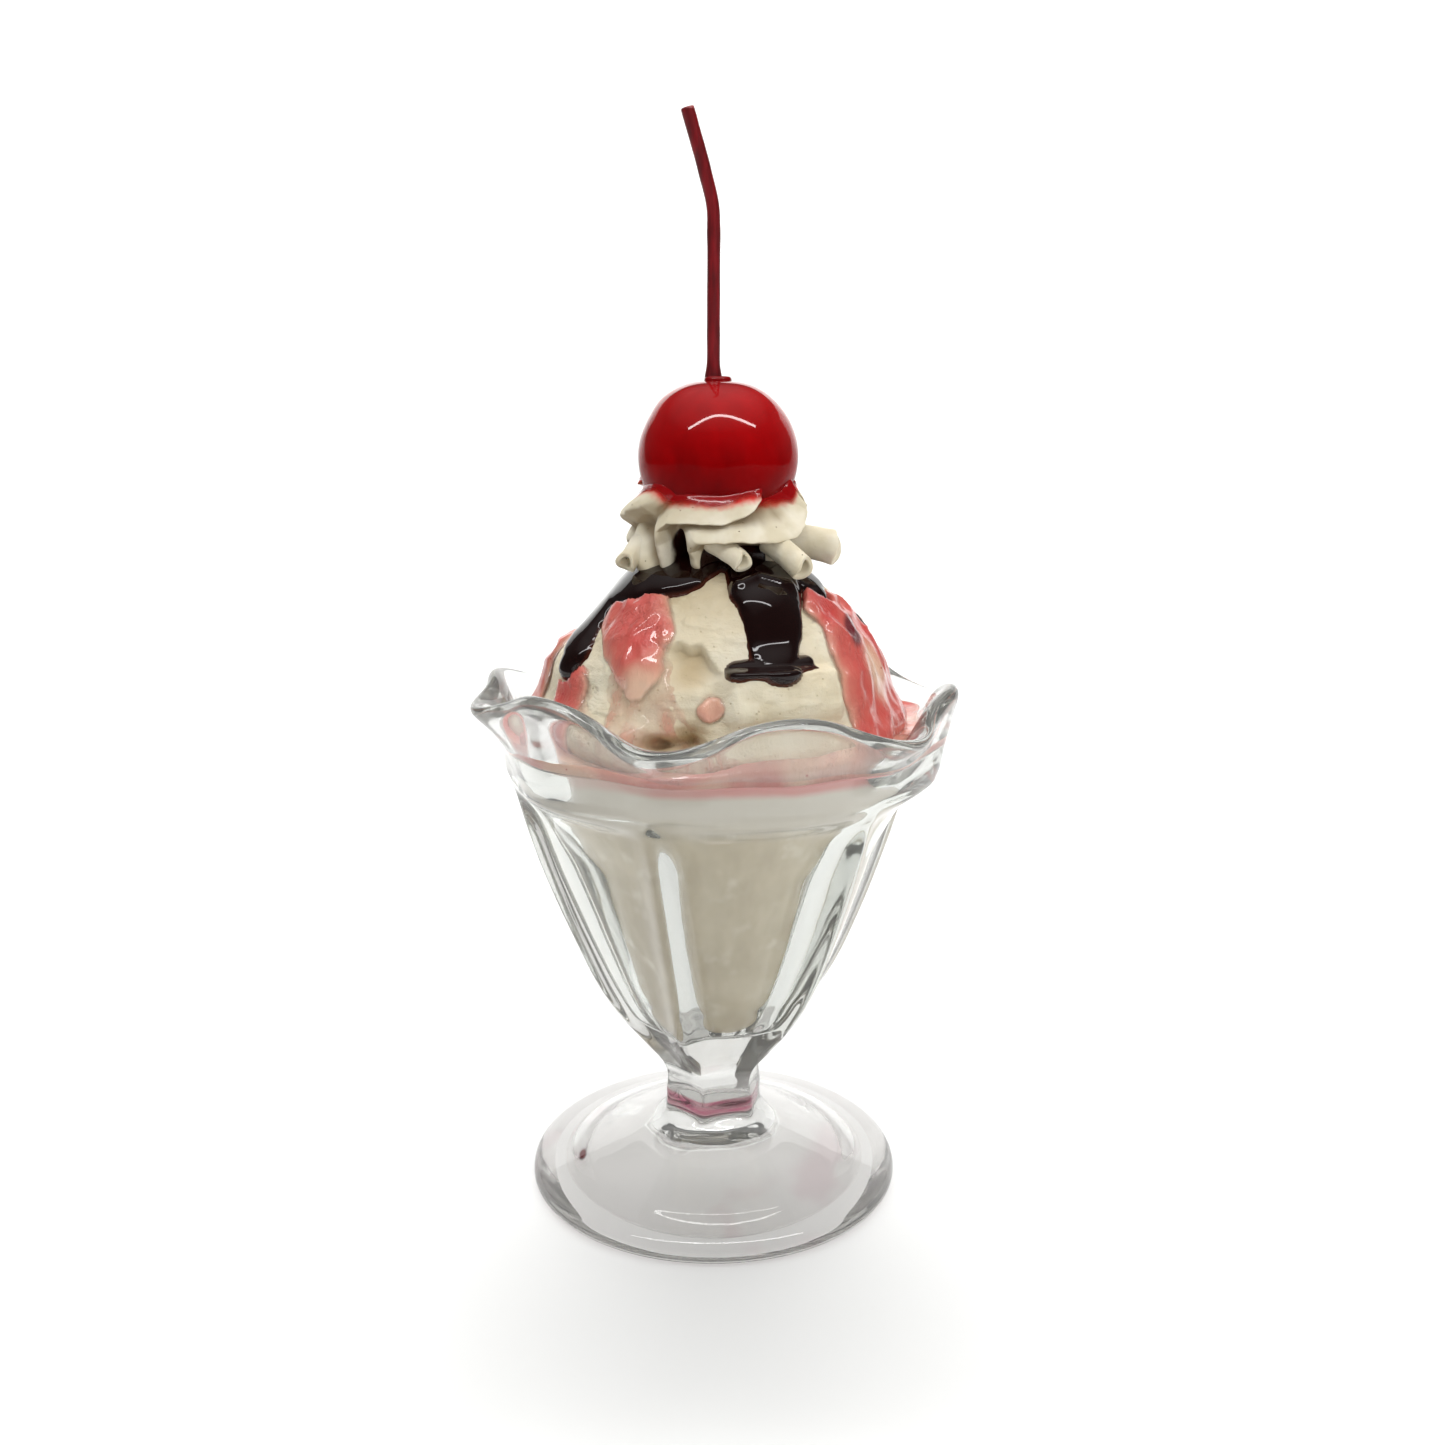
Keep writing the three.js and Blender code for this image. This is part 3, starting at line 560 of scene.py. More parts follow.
def dish_rows(columns=432, steps=4):
    azimuth = all_round(columns)

    def band_row(share, inside):
        height = lerp(bowl["band_bottom"], rim_height(azimuth), share)
        return on_bowl(azimuth, band_radius(azimuth, share, inside), height)

    rows = [polar(azimuth, radius, height) for radius, height in foot_hollow + foot_ring + foot_top]
    for height in (stem["base"], (stem["base"] + stem["neck"]) / 2):
        rows.append(polar(azimuth, panelled_radius(azimuth, stem["radius"], stem["depth"]), height))
    for height in panel_heights:
        rows.append(on_bowl(azimuth, ribbed_radius(azimuth, rib_radius(height)), height))
    ledge = band_radius(azimuth, 0, False) - band["ledge"] * (1 + lobe(azimuth)) / 2
    rows.append(on_bowl(azimuth, ledge, bowl["band_bottom"] - 2))
    rows += [band_row(share, False) for share in band_shares]
    for share in lip_shares:
        radius = band_radius(azimuth, 1, False) - share * rim["wall"]
        rows.append(on_bowl(azimuth, radius, rim_height(azimuth) + rim["crown"]))
    rows += [band_row(share, True) for share in reversed(band_shares)]
    rows += [on_bowl(azimuth, inner_radius(azimuth, height), height) for height in inside_heights]
    return between_rows(rows, steps)


dish_grid = dish_rows()
dish_grid = roughened(dish_grid, 0.07, 9.0, seed=3, where=smoothstep(dish_grid[..., 2], 1.0, 6.0))
piece("glass_dish", *closed(dish_grid), pressed_glass, "dish_glass", node="sundae_dish")

# %% [markdown]
# ## The filling in the glass
#
# The cast ice cream fills the bowl, but it shrank a hair when it set, so a film of air is left behind the
# glass. Seen straight on, the film doesn't matter. Seen at a slant through the ribs, it reflects like a
# mirror, and that is why only the middles of the panels show the filling. A gap of air as thin as that
# would render badly, so the filling reaches just into the wall, and Fresnel with glass outside and air
# inside works out where the mirror shows. Near the top, behind the band, the filling turns paler and
# greyer, and its last few millimetres are soaked with pink.

# %% The filling's finish
fill_mirror = {"ior": 0.64, "tint": colour(246, 248, 246)}
fill_colours = {"main": colour(198, 185, 158), "dark": colour(180, 165, 137), "pale": colour(208, 199, 178),
                "paler_top": colour(212, 206, 196), "soaked": colour(206, 104, 100)}
paler_top_from, paler_top_to = 80.0, 86.0
soaked_from, soaked_to = 89.0, 91.0


def fill_finish():
    finish = Finish("ice_cream_behind_glass")
    place = finish.place()
    clouds = finish.noise(place, 14.0, detail=3.0)
    drawn = finish.noise(place * (1.0, 1.0, 0.22), 3.0, detail=4.0)
    base = (clouds * 0.6 + drawn * 0.4).between(0.35, 0.65).mix(fill_colours["dark"], fill_colours["main"])
    base = finish.noise(place, 5.0, detail=2.0).between(0.55, 0.8).mix(base, fill_colours["pale"])
    base = finish.spots(place, 4.5).between(0.0, 0.09).mix(fill_colours["dark"], base)
    height = finish.axis(place, "Z")
    level = height + (finish.noise(place, 16.0, detail=2.0) - 0.5) * 9.0
    # paler and greyer near the top, behind the band
    base = (level.between(paler_top_from, paler_top_to) * 0.8).mix(base, fill_colours["paler_top"])
    side = finish.axis(place, "X") + (clouds - 0.5) * 40
    soaked = (level * 0.4 + height * 0.6).between(soaked_from, soaked_to)
    base = (soaked * (side.between(-30.0, 5.0) * 0.6 + 0.2)).mix(base, fill_colours["soaked"])
    plaster = finish.principled(base_color=base, roughness=0.55, specular_ior_level=0.2)
    mirror = finish.node("ShaderNodeBsdfAnisotropic", None, {"Color": fill_mirror["tint"], "Roughness": 0.0})
    slant = finish.node("ShaderNodeFresnel", None, {"IOR": fill_mirror["ior"]})
    return finish.show(finish.blend(slant, plaster, mirror))


ice_cream_behind_glass = fill_finish()

# %% The filling's shape
fill = {"top": 92.0, "reach": 0.25, "base": 35.6, "base_radius": 10.8, "lines": 110}


def fill_rows(columns=240):
    azimuth = all_round(columns)
    base = on_bowl(azimuth, fill["base_radius"], fill["base"] - fill["reach"])
    heights = np.linspace(fill["base"] + 0.3, fill["top"], fill["lines"])
    rows = [on_bowl(azimuth, inner_radius(azimuth, height) + fill["reach"], height) for height in heights]
    return np.array([base] + rows)


piece("ice_cream_filling", *closed(fill_rows()), ice_cream_behind_glass, "ice_cream", node="ice_cream_fill")

# %% [markdown]
# ## Ice cream
#
# A ball of real ice cream tears as the scoop leaves it: fine crumbs all over, little ledges, and a lip
# round its foot. The large forms are bumps in the radius of a ball, by azimuth and elevation. The tears
# are noise in the mesh, down to about half a millimetre, and finer grain is left to the bump in the
# finish.

# %% The ball's shape
scoop = {"x": 0.5, "z": 95.0, "radius": 32.0, "base": 92.3, "sink": 0.4, "sway": 0.5}
scoop_dabs = [(20, 48.5, 17, 7, 1.5), (21, 34, 12, 5, -0.9), (-8, 5, 5, 4.5, -4.2), (-18, 3, 4, 3.0, -3.4),
              (-70, 24, 15, 10, 1.6), (-36, 5, 20, 7, 2.2), (110, 15, 22, 12, 1.5), (-120, 30, 18, 9, -1.4),
              (170, 12, 25, 9, 1.6), (145, 30, 14, 6, -1.3), (-92, 52, 26, 12, -1.6),
              (-88, 38, 32, 15, -2.2), (-13, 3, 9, 2.2, -2.6)]
shelf = {"azimuth": -7, "reach": 11, "top": 33.5, "bottom": 18, "depth": 2.6, "edge": 2.0}
lip = {"azimuth": 23, "along": (-24, -16, 16, 24), "across": (5, 14, 23, 27), "height": 3.2}
skirt = {"height": 2.6, "reach": 7}


def shelf_top(off):
    """The upper edge of the torn hollow, which falls away to the right."""
    return shelf["top"] - 0.5 * np.maximum(off, 0) ** 1.3 + 0.8 * np.sin(np.radians(off * 40))


def in_shelf(azimuth, elevation):
    """1 at the back of the hollow that the scoop tore out above the lip."""
    off = turn(azimuth, shelf["azimuth"])
    top = shelf_top(off)
    upright = window(elevation, shelf["bottom"], shelf["top"] - 3, top, top + shelf["edge"])
    return upright * np.exp(-(off / shelf["reach"]) ** 4)


def scoop_radius(azimuth, elevation):
    sway = scoop["sway"] * np.sin(np.radians(3 * azimuth + 60)) * np.cos(np.radians(elevation))
    in_lip = window(turn(azimuth, lip["azimuth"]), *lip["along"]) * window(elevation, *lip["across"])
    radius = scoop["radius"] + sway + lip["height"] * in_lip
    radius = radius + skirt["height"] * bell(elevation, skirt["reach"])
    return radius - shelf["depth"] * in_shelf(azimuth, elevation) + dabs(azimuth, elevation, scoop_dabs)


def on_scoop(azimuth, elevation, extra=0.0):
    up = np.radians(elevation)
    reach = scoop_radius(azimuth, elevation) + extra
    return polar(azimuth, reach * np.cos(up), reach * np.sin(up)) + (scoop["x"], 0, scoop["z"])


def tears(points):
    """Torn crumbs of the ice cream: where the noise is high it breaks off in a ledge."""
    flakes = smoothstep(lattice_noise(points * (1, 1, 1.6), 3.4, seed=13), 0.15, 0.35) * 0.22
    return flakes + layered_noise(points, (0.32, 6.5, 11), (0.16, 2.4, 12), (0.07, 0.9, 14))


scoop_columns, scoop_lines = 460, 190
lowest = math.degrees(math.asin((scoop["base"] - scoop["z"]) / scoop["radius"]))
AZ, EL = np.meshgrid(all_round(scoop_columns), np.linspace(lowest, 89.0, scoop_lines))
ball = on_scoop(AZ, EL)
torn = tears(ball)
scoop_grid = on_scoop(AZ, EL, torn)
scoop_grid[0, :, 2] = scoop["base"] - scoop["sink"]
print("the ball's tears are", torn.min().round(2), "to", torn.max().round(2), "mm high")

# %% [markdown]
# The ice cream is a warm ivory with a fine grain. Two fields darken it with painted shade: `hollow` where
# crumbs are missing, high up under the cream and in two pockets under the lip, and `shelf` on the wall of
# the torn hollow, in the shadow of its overhang. Its pinholes get painted shade too. A little light spreads
# under its surface.

# %% The ice cream's finish
ice_cream_colours = {"pale": colour(221, 213, 192), "main": colour(210, 198, 171),
                     "shade": colour(170, 150, 110), "tan": colour(188, 168, 132)}
# painted shade in two dark pockets under the lip
under_lip_shade_dabs = [(-8, 5, 6, 5, 0.9), (-18, 3, 5, 3.5, 0.9)]
# painted shadow on the wall of the torn hollow, under its overhang
shelf_shade = {"strength": 0.75, "from": 13, "to": 26, "edge": 1.5, "turn": -2, "reach": 9}


def ice_cream_finish():
    finish = Finish("ice_cream_surface")
    place = finish.place()
    clouds = finish.noise(place, 11.0, detail=4.0)
    grain = finish.noise(place, 0.7, detail=4.0, roughness=0.65)
    base = clouds.between(0.3, 0.7).mix(ice_cream_colours["main"], ice_cream_colours["pale"])
    # painted shade: `hollow` darkens torn-out crumbs, the top of the ball under the cream and the pockets
    # under the lip
    base = finish.field("hollow").mix(base, ice_cream_colours["shade"])
    # painted shadow under the torn hollow's overhang
    shelf_shadow = (finish.field("shelf") * (0.75 + clouds * 0.4)).between(0.1, 0.9)
    base = shelf_shadow.mix(base, ice_cream_colours["tan"])
    pits = finish.spots(place, 1.9).between(0.02, 0.16)
    # painted shade in the pinholes
    base = (pits * 0.5 + 0.5).mix(ice_cream_colours["shade"], base)
    scrapes = finish.noise(place * (0.5, 0.5, 1.8), 1.8, detail=3.0, distortion=1.2)
    scraped = finish.noise(place, 12.0, detail=1.0).between(0.45, 0.6)
    relief = grain * 0.6 + pits * 0.5 + scrapes * scraped * 0.9 + finish.noise(place, 2.6, detail=3.0) * 0.8
    return finish.show(finish.principled(
        base_color=base, roughness=0.5 + grain * 0.2, specular_ior_level=0.35, subsurface_weight=0.12,
        subsurface_radius=(1.0, 0.75, 0.5), subsurface_scale=0.0012, normal=finish.bump(relief, 0.28)))


off_shelf = turn(AZ, shelf["azimuth"])
in_shade = smoothstep(EL, shelf_shade["from"], shelf_shade["to"]) * bell(off_shelf - shelf_shade["turn"],
                                                                         shelf_shade["reach"])
in_shade = in_shade * (1 - smoothstep(EL, shelf_top(off_shelf), shelf_top(off_shelf) + shelf_shade["edge"]))
# painted shade: `hollow` darkens torn-out crumbs, the top of the ball under the cream and two pockets under
# the lip; `shelf` is the painted shadow under the torn hollow's overhang
hollow = np.clip(-torn * 1.2, 0, 1) * 0.5 + smoothstep(EL, 34, 56) * 0.5 + dabs(AZ, EL, under_lip_shade_dabs)
piece("ice_cream_ball", *closed(scoop_grid), ice_cream_finish(), "ice_cream",
      {"hollow": np.clip(hollow, 0, 1), "shelf": shelf_shade["strength"] * in_shade}, node="ice_cream_scoop")

# %% [markdown]
# ## Sauces
#
# A sauce runs down in tongues that end in a thick round drop. Each run is a chain of places on the ball,
# each with its azimuth, elevation and half width, and the distance to the nearest chain says how deep a
# point is inside the sauce. The skin's height climbs steeply at the edge and then levels out, as surface
# tension makes it. The same height goes into the mesh as a field, so the finish can be pale where the
# sauce is thin.

# %% How sauce covers the ball
sink = 0.35        # how deep the edge of a sauce goes into the ice cream


def direction(azimuth, elevation):
    up = np.radians(elevation)
    return polar(azimuth, scoop["radius"] * np.cos(up), scoop["radius"] * np.sin(up))


def run_distance(runs, azimuth, elevation):
    """Distance outside the nearest run, negative inside it."""
    places = direction(azimuth, elevation)
    nearest = np.full(places.shape[:-1], np.inf)
    for run in runs:
        for (azimuth0, elevation0, width0), (azimuth1, elevation1, width1) in zip(run, run[1:]):
            start, end = direction(azimuth0, elevation0), direction(azimuth1, elevation1)
            way = end - start
            share = np.clip((places - start) @ way / (way @ way), 0, 1)
            reach = np.linalg.norm(places - start - share[..., None] * way, axis=-1)
            nearest = np.minimum(nearest, reach - lerp(width0, width1, share))
    return nearest


def cover(sauce):
    """Which points of the ball a sauce covers, and how high it stands there."""
    wobble = layered_noise(ball, (sauce["wobble"], 5.0, sauce["seed"]),
                           (0.35 * sauce["wobble"], 1.8, sauce["seed"] + 1))
    distance = run_distance(sauce["runs"], AZ, EL) + wobble
    height = sauce["thickness"] * (1 - np.exp(np.minimum(distance, 0) / sauce["feather"]))
    return distance < 0.9 * sink, np.maximum(height - np.maximum(distance, 0), -sink)


def sauce_piece(name, finish, slot, covered, height, fields, node):
    points, faces, kept = skin(on_scoop(AZ, EL, height), on_scoop(AZ, EL, -2 * sink), covered)
    return piece(name, points, faces, finish, slot,
                 {field: values.ravel()[kept] for field, values in fields.items()}, node)


print("to a thin run 90 degrees away it is", run_distance([[(0, 0, 1), (0, 9, 1)]], 90, 0).round(1), "mm")

# %% [markdown]
# Fudge is nearly black and very glossy. Only its thin edges let a brown show, so the height field drives
# the colour. A coat over the base gives the sharp white lines where the long lamp is mirrored, and a low
# ridge across the widest run turns towards the lamp as well, which makes the second line.

# %% Fudge
fudge = {"thickness": 1.7, "feather": 0.9, "wobble": 0.45, "seed": 21, "runs": [
    [(0, 90, 11.5), (40, 66, 7.5), (27, 52, 6.8), (24, 40, 5.4), (22, 31, 4.6), (21, 27.4, 4.2)],
    [(7, 25.6, 2.0), (20, 26.2, 2.4), (34, 27.2, 1.6)],
    [(0, 90, 11.5), (-22, 61, 4.6), (-50, 58, 5.5), (-80, 53, 6.5)],
    [(-76, 49, 6.0), (-67, 36, 4.4), (-60, 27, 3.3), (-61, 22, 2.7)],
    [(0, 90, 11.5), (60, 66, 6.5), (66, 57, 5.0), (64, 51, 3.0)],
    [(84, 37, 2.0), (85, 31, 2.6)],
    [(0, 90, 11.5), (141, 60, 6.0), (144, 45, 4.6), (147, 33, 3.3)],
    [(0, 90, 11.5), (-172, 58, 5.5), (-170, 49, 4.0)],
    [(0, 90, 11.5), (-138, 58, 6.0), (-144, 44, 4.6), (-149, 29, 3.4)],
]}
fudge_ridge = {"height": 1.1, "reach": 2.4, "along": (1, 6, 40, 46),
               "line": [(0, 55.0), (6, 55.0), (13, 53.9), (23, 57.2), (37, 53.1), (50, 53.0)]}
fudge_colours = {"thin": colour(66, 28, 16), "thick": colour(20, 5, 4)}


def fudge_finish():
    finish = Finish("fudge_gloss")
    place = finish.place()
    thick = finish.field("thick") + (finish.noise(place, 3.0, detail=3.0) - 0.5) * 0.25
    base = thick.between(0.05, 0.5).mix(fudge_colours["thin"], fudge_colours["thick"])
    soft = finish.noise(place, 4.0, detail=2.0)
    return finish.show(finish.principled(
        base_color=base, roughness=0.06, coat_weight=0.15, coat_roughness=0.02, specular_ior_level=0.3,
        normal=finish.bump(soft, 0.03)))


covered, fudge_height = cover(fudge)
in_ridge = window(AZ, *fudge_ridge["along"]) * smoothstep(fudge_height, 0.4, 1.2)
ridge = fudge_ridge["height"] * in_ridge * bell(EL - np.interp(AZ, *zip(*fudge_ridge["line"])),
                                                fudge_ridge["reach"])
sauce_piece("fudge_runs", fudge_finish(), "fudge", covered, fudge_height + ridge,
            {"thick": np.clip(fudge_height / fudge["thickness"], 0, 1)}, node="fudge_sauce")

# %% [markdown]
# Strawberry sauce is a pink-red gel with seeds and wrinkles, milky where ice cream has mixed into it and
# clear where it is thin. The wrinkles run down with the flow, so the noise for them is stretched that
# way. A film and thin strands of it have run down between the thick tongues, and one tongue holds a piece
# of dark berry.

# %% Where the strawberry sauce runs
strawberry = {"thickness": 2.0, "feather": 1.3, "wobble": 0.6, "seed": 31, "runs": [
    [(-42, 46, 7.5), (-33, 37, 7.5), (-28, 27, 5.5), (-27, 20, 2.8)],
    [(-2, 14.0, 2.2), (-1, 14.8, 2.3)],
    [(-56, 17, 4.6), (-56, 9, 5.0), (-56, -4, 6.0)],
    [(-84, 29, 3.4), (-87, 19, 4.6), (-88, 8, 5.4), (-88, -4, 7.0)],
    [(56, 47, 5.5), (61, 39, 6.0), (60, 28, 7.0), (62, 14, 8.5), (64, -4, 11.0)],
    [(74, 42, 5.5), (80, 30, 6.5), (78, 14, 8.5), (78, -4, 11.0)],
    [(152, 38, 5.0), (155, 22, 5.6), (160, 6, 8.0), (160, -4, 9.0)],
    [(-139, 22, 4.8), (-134, 10, 6.0), (-130, -4, 7.0)],
]}
strands = {"thickness": 0.45, "feather": 0.7, "wobble": 0.5, "seed": 35, "runs": [
    [(-27, 22, 2.8), (-26, 10, 1.7), (-24, -4, 2.2)],
    [(-22, 26, 4.0), (-19, 18, 2.6), (-14, 9, 1.2), (-10, 2, 1.6), (-8, -4, 3.0)],
    [(-17, 22, 1.0), (-8, 8, 0.7), (-4, 1, 1.6), (4, -2, 2.2)],
    [(-34, 22, 3.4), (-33, 8, 0.8), (-31, -4, 1.6)],
    [(-52, 16, 2.0), (-44, 8, 0.8), (-36, 2, 1.0)],
    [(-50, 12, 1.6), (-40, 3, 0.8), (-33, -1, 1.0)],
]}
film = {"thickness": 0.25, "feather": 1.6, "wobble": 0.5, "seed": 37, "runs": [
    [(-28, 30, 6.0), (-26, 20, 7.0), (-22, 8, 5.5), (-18, -4, 7.0)],
    [(-52, 14, 3.0), (-44, 4, 3.0), (-34, -3, 3.5)],
]}
milky_dabs = [(69, 20, 9, 12, 1.0), (-24, 20, 10, 9, 1.0), (-1, 15, 6, 6, 0.7)]
berry = {"azimuth": 64, "elevation": 34, "lean": 0.5, "width": 6, "height": 7}
print("runs of strawberry sauce:", len(strawberry["runs"] + strands["runs"] + film["runs"]))

# %% The strawberry sauce's finish
strawberry_colours = {"thin": colour(214, 160, 138), "thick": colour(196, 84, 76),
                      "patch": colour(202, 54, 56), "milky": colour(224, 186, 160),
                      "seed": colour(176, 22, 30), "berry": colour(96, 16, 26)}


def strawberry_finish():
    finish = Finish("strawberry_gloss")
    place = finish.place()
    streaks = finish.noise(place * (1.0, 1.0, 0.35), 1.5, detail=4.0, roughness=0.6)
    clouds = finish.noise(place, 5.0, detail=2.0)
    thick = finish.field("thick") + (clouds - 0.5) * 0.5 + (streaks - 0.5) * 0.25
    base = thick.between(0.1, 1.1).mix(strawberry_colours["thin"], strawberry_colours["thick"])
    patches = finish.noise(place, 8.0, detail=3.0).between(0.5, 0.72)
    base = (patches * 0.5).mix(base, strawberry_colours["patch"])
    milky = (finish.field("milky") * (0.6 + clouds * 0.6)).between(0.2, 0.9)
    base = milky.mix(base, strawberry_colours["milky"])
    base = finish.spots(place, 2.6).between(0.04, 0.1).mix(strawberry_colours["seed"], base)
    base = finish.field("berry").between(0.35, 0.75).mix(base, strawberry_colours["berry"])
    fine = finish.noise(place * (1.0, 1.0, 0.5), 0.9, detail=3.0, distortion=1.2)
    creased = finish.noise(place, 6.0, detail=1.0).between(0.48, 0.6)
    relief = streaks * 0.3 + clouds * 0.3 + fine * (creased * 0.6 + 0.2)
    return finish.show(finish.principled(
        base_color=base, roughness=0.34, coat_weight=0.9, coat_roughness=0.03,
        alpha=thick.between(0.0, 0.5) * 0.85 + 0.1, normal=finish.bump(relief, 0.6)))


strawberry_gloss = strawberry_finish()

# %% The strawberry sauce's shape
covered, height = cover(strawberry)
for thin_sauce in (strands, film):
    thin_covered, thin_height = cover(thin_sauce)
    covered, height = covered | thin_covered, np.maximum(height, thin_height)
wrinkles = 0.2 * lattice_noise(ball * (1, 1, 0.35), 1.6, seed=33) * smoothstep(height, 0.3, 1.4)
folds = 0.9 * np.abs(lattice_noise(ball * (1, 1, 0.5), 3.2, seed=34)) * smoothstep(height, 0.5, 1.6)
off_berry = turn(AZ, berry["azimuth"]) - berry["lean"] * (EL - berry["elevation"])
sauce_piece("strawberry_runs", strawberry_gloss, "strawberry", covered & (fudge_height < -0.1),
            height + wrinkles - folds,
            {"thick": np.clip(height / strawberry["thickness"], 0, 1),
             "milky": np.clip(dabs(AZ, EL, milky_dabs), 0, 1),
             "berry": bell(off_berry, berry["width"]) * bell(EL - berry["elevation"], berry["height"])},
            node="strawberry_sauce")

# %% [markdown]
# The pool lies between the ball and the glass, on top of the filling. Its edge climbs the wall a little,
# as any liquid does, and more at the right front, where the sauce is smeared up the glass. It reaches
# just into the glass, so that no air shows behind the band.

# %% Pool of sauce
pool = {"depth": 1.7, "inner": 0.72, "edge": 0.995, "lines": 26, "climb": 0.7, "steep": 36, "seat": 0.4}
smear = {"climb": 2.4, "azimuth": 32, "reach": 34}


def pool_grid(columns=360):
    azimuth = all_round(columns)
    level = scoop["base"] + pool["depth"]
    low = scoop["base"] - pool["seat"]
    ripple = 0.35 * np.sin(np.radians(5 * azimuth + 40)) + 0.25 * np.sin(np.radians(3 * azimuth))
    edge = inner_radius(azimuth, level) + fill["reach"]
    patchy = np.clip(0.7 + layered_noise(polar(azimuth, 36.0, 0.0), (0.6, 6.0, 45)), 0, 2)
    climb = pool["climb"] + smear["climb"] * bell(turn(azimuth, smear["azimuth"]), smear["reach"]) * patchy
    rows = [on_bowl(azimuth, share * edge, low) for share in (pool["inner"], 0.9)]
    rows.append(on_bowl(azimuth, inner_radius(azimuth, low) + fill["reach"], low))
    for share in np.linspace(pool["edge"], pool["inner"], pool["lines"]):
        at_wall = climb * np.exp((share - 1) * pool["steep"])
        rows.append(on_bowl(azimuth, share * edge, level + ripple + at_wall))
    grid = np.array(rows)
    grid[3:, :, 2] += layered_noise(grid[3:], (0.22, 3.5, 41), (0.1, 1.4, 42))
    return grid


grid = pool_grid()
rows, columns = grid.shape[:2]
last = (rows - 1) * columns
sides = [(side, (side + 1) % columns) for side in range(columns)]
underside = [[last + side, last + beside, beside, side] for side, beside in sides]
piece("strawberry_pool", grid.reshape(-1, 3), grid_faces(rows, columns) + underside, strawberry_gloss,
      "strawberry", {"thick": np.clip(0.55 + 0.35 * lattice_noise(grid, 9.0, seed=43), 0.1, 1),
                     "milky": np.clip(0.25 + 0.7 * lattice_noise(grid, 7.0, seed=44), 0, 1)})

# %% [markdown]
# ## Whipped cream
#
# Piped cream winds round in ribbons whose edges stand out and hang over a little. A ribbon's edge is a
# chain of azimuths and heights with how far it stands out, like a run of sauce, but it falls off with a
# hollow curve on both sides, so that the crest stays sharp and a valley is left between two of them. Each
# point also sags by a share of how far it stands out, which makes the real overhang. Rolled ends are
# short hollow tubes.

# %% Ribbons of cream
cream = {"x": 0.8, "round": 16.0, "sag": 0.42, "hang": -0.4, "crest": 0.22, "columns": 520, "lines": 160}
cream_body = [(119.5, 11), (121.5, 13), (124, 13.6), (128, 13.8), (132, 13.8), (135.5, 12.6), (138, 11.6),
              (141, 10.0)]
cream_ribbons = [        # reach above the edge, reach below it, sharpness, and the edge itself
    (2.2, 1.4, 1.6, [(-130, 138, 3), (-112, 141, 5.4), (-96, 140.4, 4.4)]),
    (2.0, 3.8, 1.7, [(-112, 133.8, 3.8), (-92, 135.2, 5.2), (-74, 136.4, 5.4), (-58, 137.8, 4.6),
                     (-46, 139.4, 3.0)]),
    (2.6, 2.6, 2.2, [(-72, 129.5, 3.2), (-64, 127.4, 3.4), (-56, 124.4, 2.8)]),
    (2.3, 1.2, 1.5, [(-37, 123.8, 1.8), (-40, 129.4, 2.6), (-39, 132.4, 3.4), (-32, 134.1, 3.8),
                     (-14, 134.4, 4), (3, 134.4, 4), (14, 135, 4), (24, 136.4, 4), (32, 138, 3.4),
                     (35, 139.4, 2.6)]),
    (3.0, 1.2, 1.5, [(-12, 124.4, 1.6), (-17, 128.6, 2.8), (-11, 131.0, 4), (8, 131.7, 4.6),
                     (30, 131.2, 4.8), (48, 131.8, 5), (60, 133.8, 5.2), (70, 136.2, 5.4), (70, 139.4, 4.6)]),
    (3.4, 3.0, 2.4, [(74, 129.4, 4.6), (92, 128.8, 5.4), (112, 128.8, 4.4)]),
    (3.2, 1.6, 1.6, [(86, 139, 4), (104, 136.2, 5), (128, 133.4, 5), (150, 132.2, 4.6), (176, 133.8, 4.8),
                     (198, 136.8, 4.4), (210, 139.4, 3)]),
    (3.0, 1.6, 1.6, [(120, 125.2, 2.2), (130, 128.6, 3.6), (156, 128.2, 4), (182, 128.6, 4.2),
                     (204, 131.8, 4.8), (222, 135.8, 4.8), (238, 139, 3.4)]),
    (2.8, 2.0, 1.8, [(208, 125, 2.6), (222, 129.8, 4.2), (244, 130.4, 4.4), (258, 129, 3.4)]),
    (2.6, 1.8, 1.8, [(142, 140, 2.6), (164, 138.2, 3.6), (180, 139.8, 2.4)]),
]
cream_dents = [(-27, 126.5, 7, 4.0, -4.2), (18, 126, 16, 2.6, -2.8), (-80, 130.2, 9, 1.4, -2.2),
               (112, 124, 14, 2, -2.4), (-60, 131.6, 9, 2.4, -1.4)]


def cream_relief(azimuth, height):
    """How far the nearest ribbon's edge stands out at a place on the cream's body."""
    most = np.zeros(azimuth.shape)
    for above, below, sharpness, edge in cream_ribbons:
        nearest = np.full(azimuth.shape, np.inf)
        relief = np.zeros(azimuth.shape)
        for (azimuth0, height0, out0), (azimuth1, height1, out1) in zip(edge, edge[1:]):
            across = cream["round"] * np.radians(turn(azimuth, azimuth0))
            way = np.array([cream["round"] * math.radians(azimuth1 - azimuth0), height1 - height0])
            share = np.clip((across * way[0] + (height - height0) * way[1]) / (way @ way), 0, 1)
            beside, over = across - share * way[0], height - height0 - share * way[1]
            distance = np.hypot(beside, over)
            reach = np.where(way[0] * over - way[1] * beside > 0, above, below)
            soft = np.hypot(distance, cream["crest"]) - cream["crest"]
            found = lerp(out0, out1, share) * np.exp(-((soft / reach) ** sharpness))
            relief = np.where(distance < nearest, found, relief)
            nearest = np.minimum(nearest, distance)
        most = np.maximum(most, relief)
    return most + dabs(azimuth, height, cream_dents)


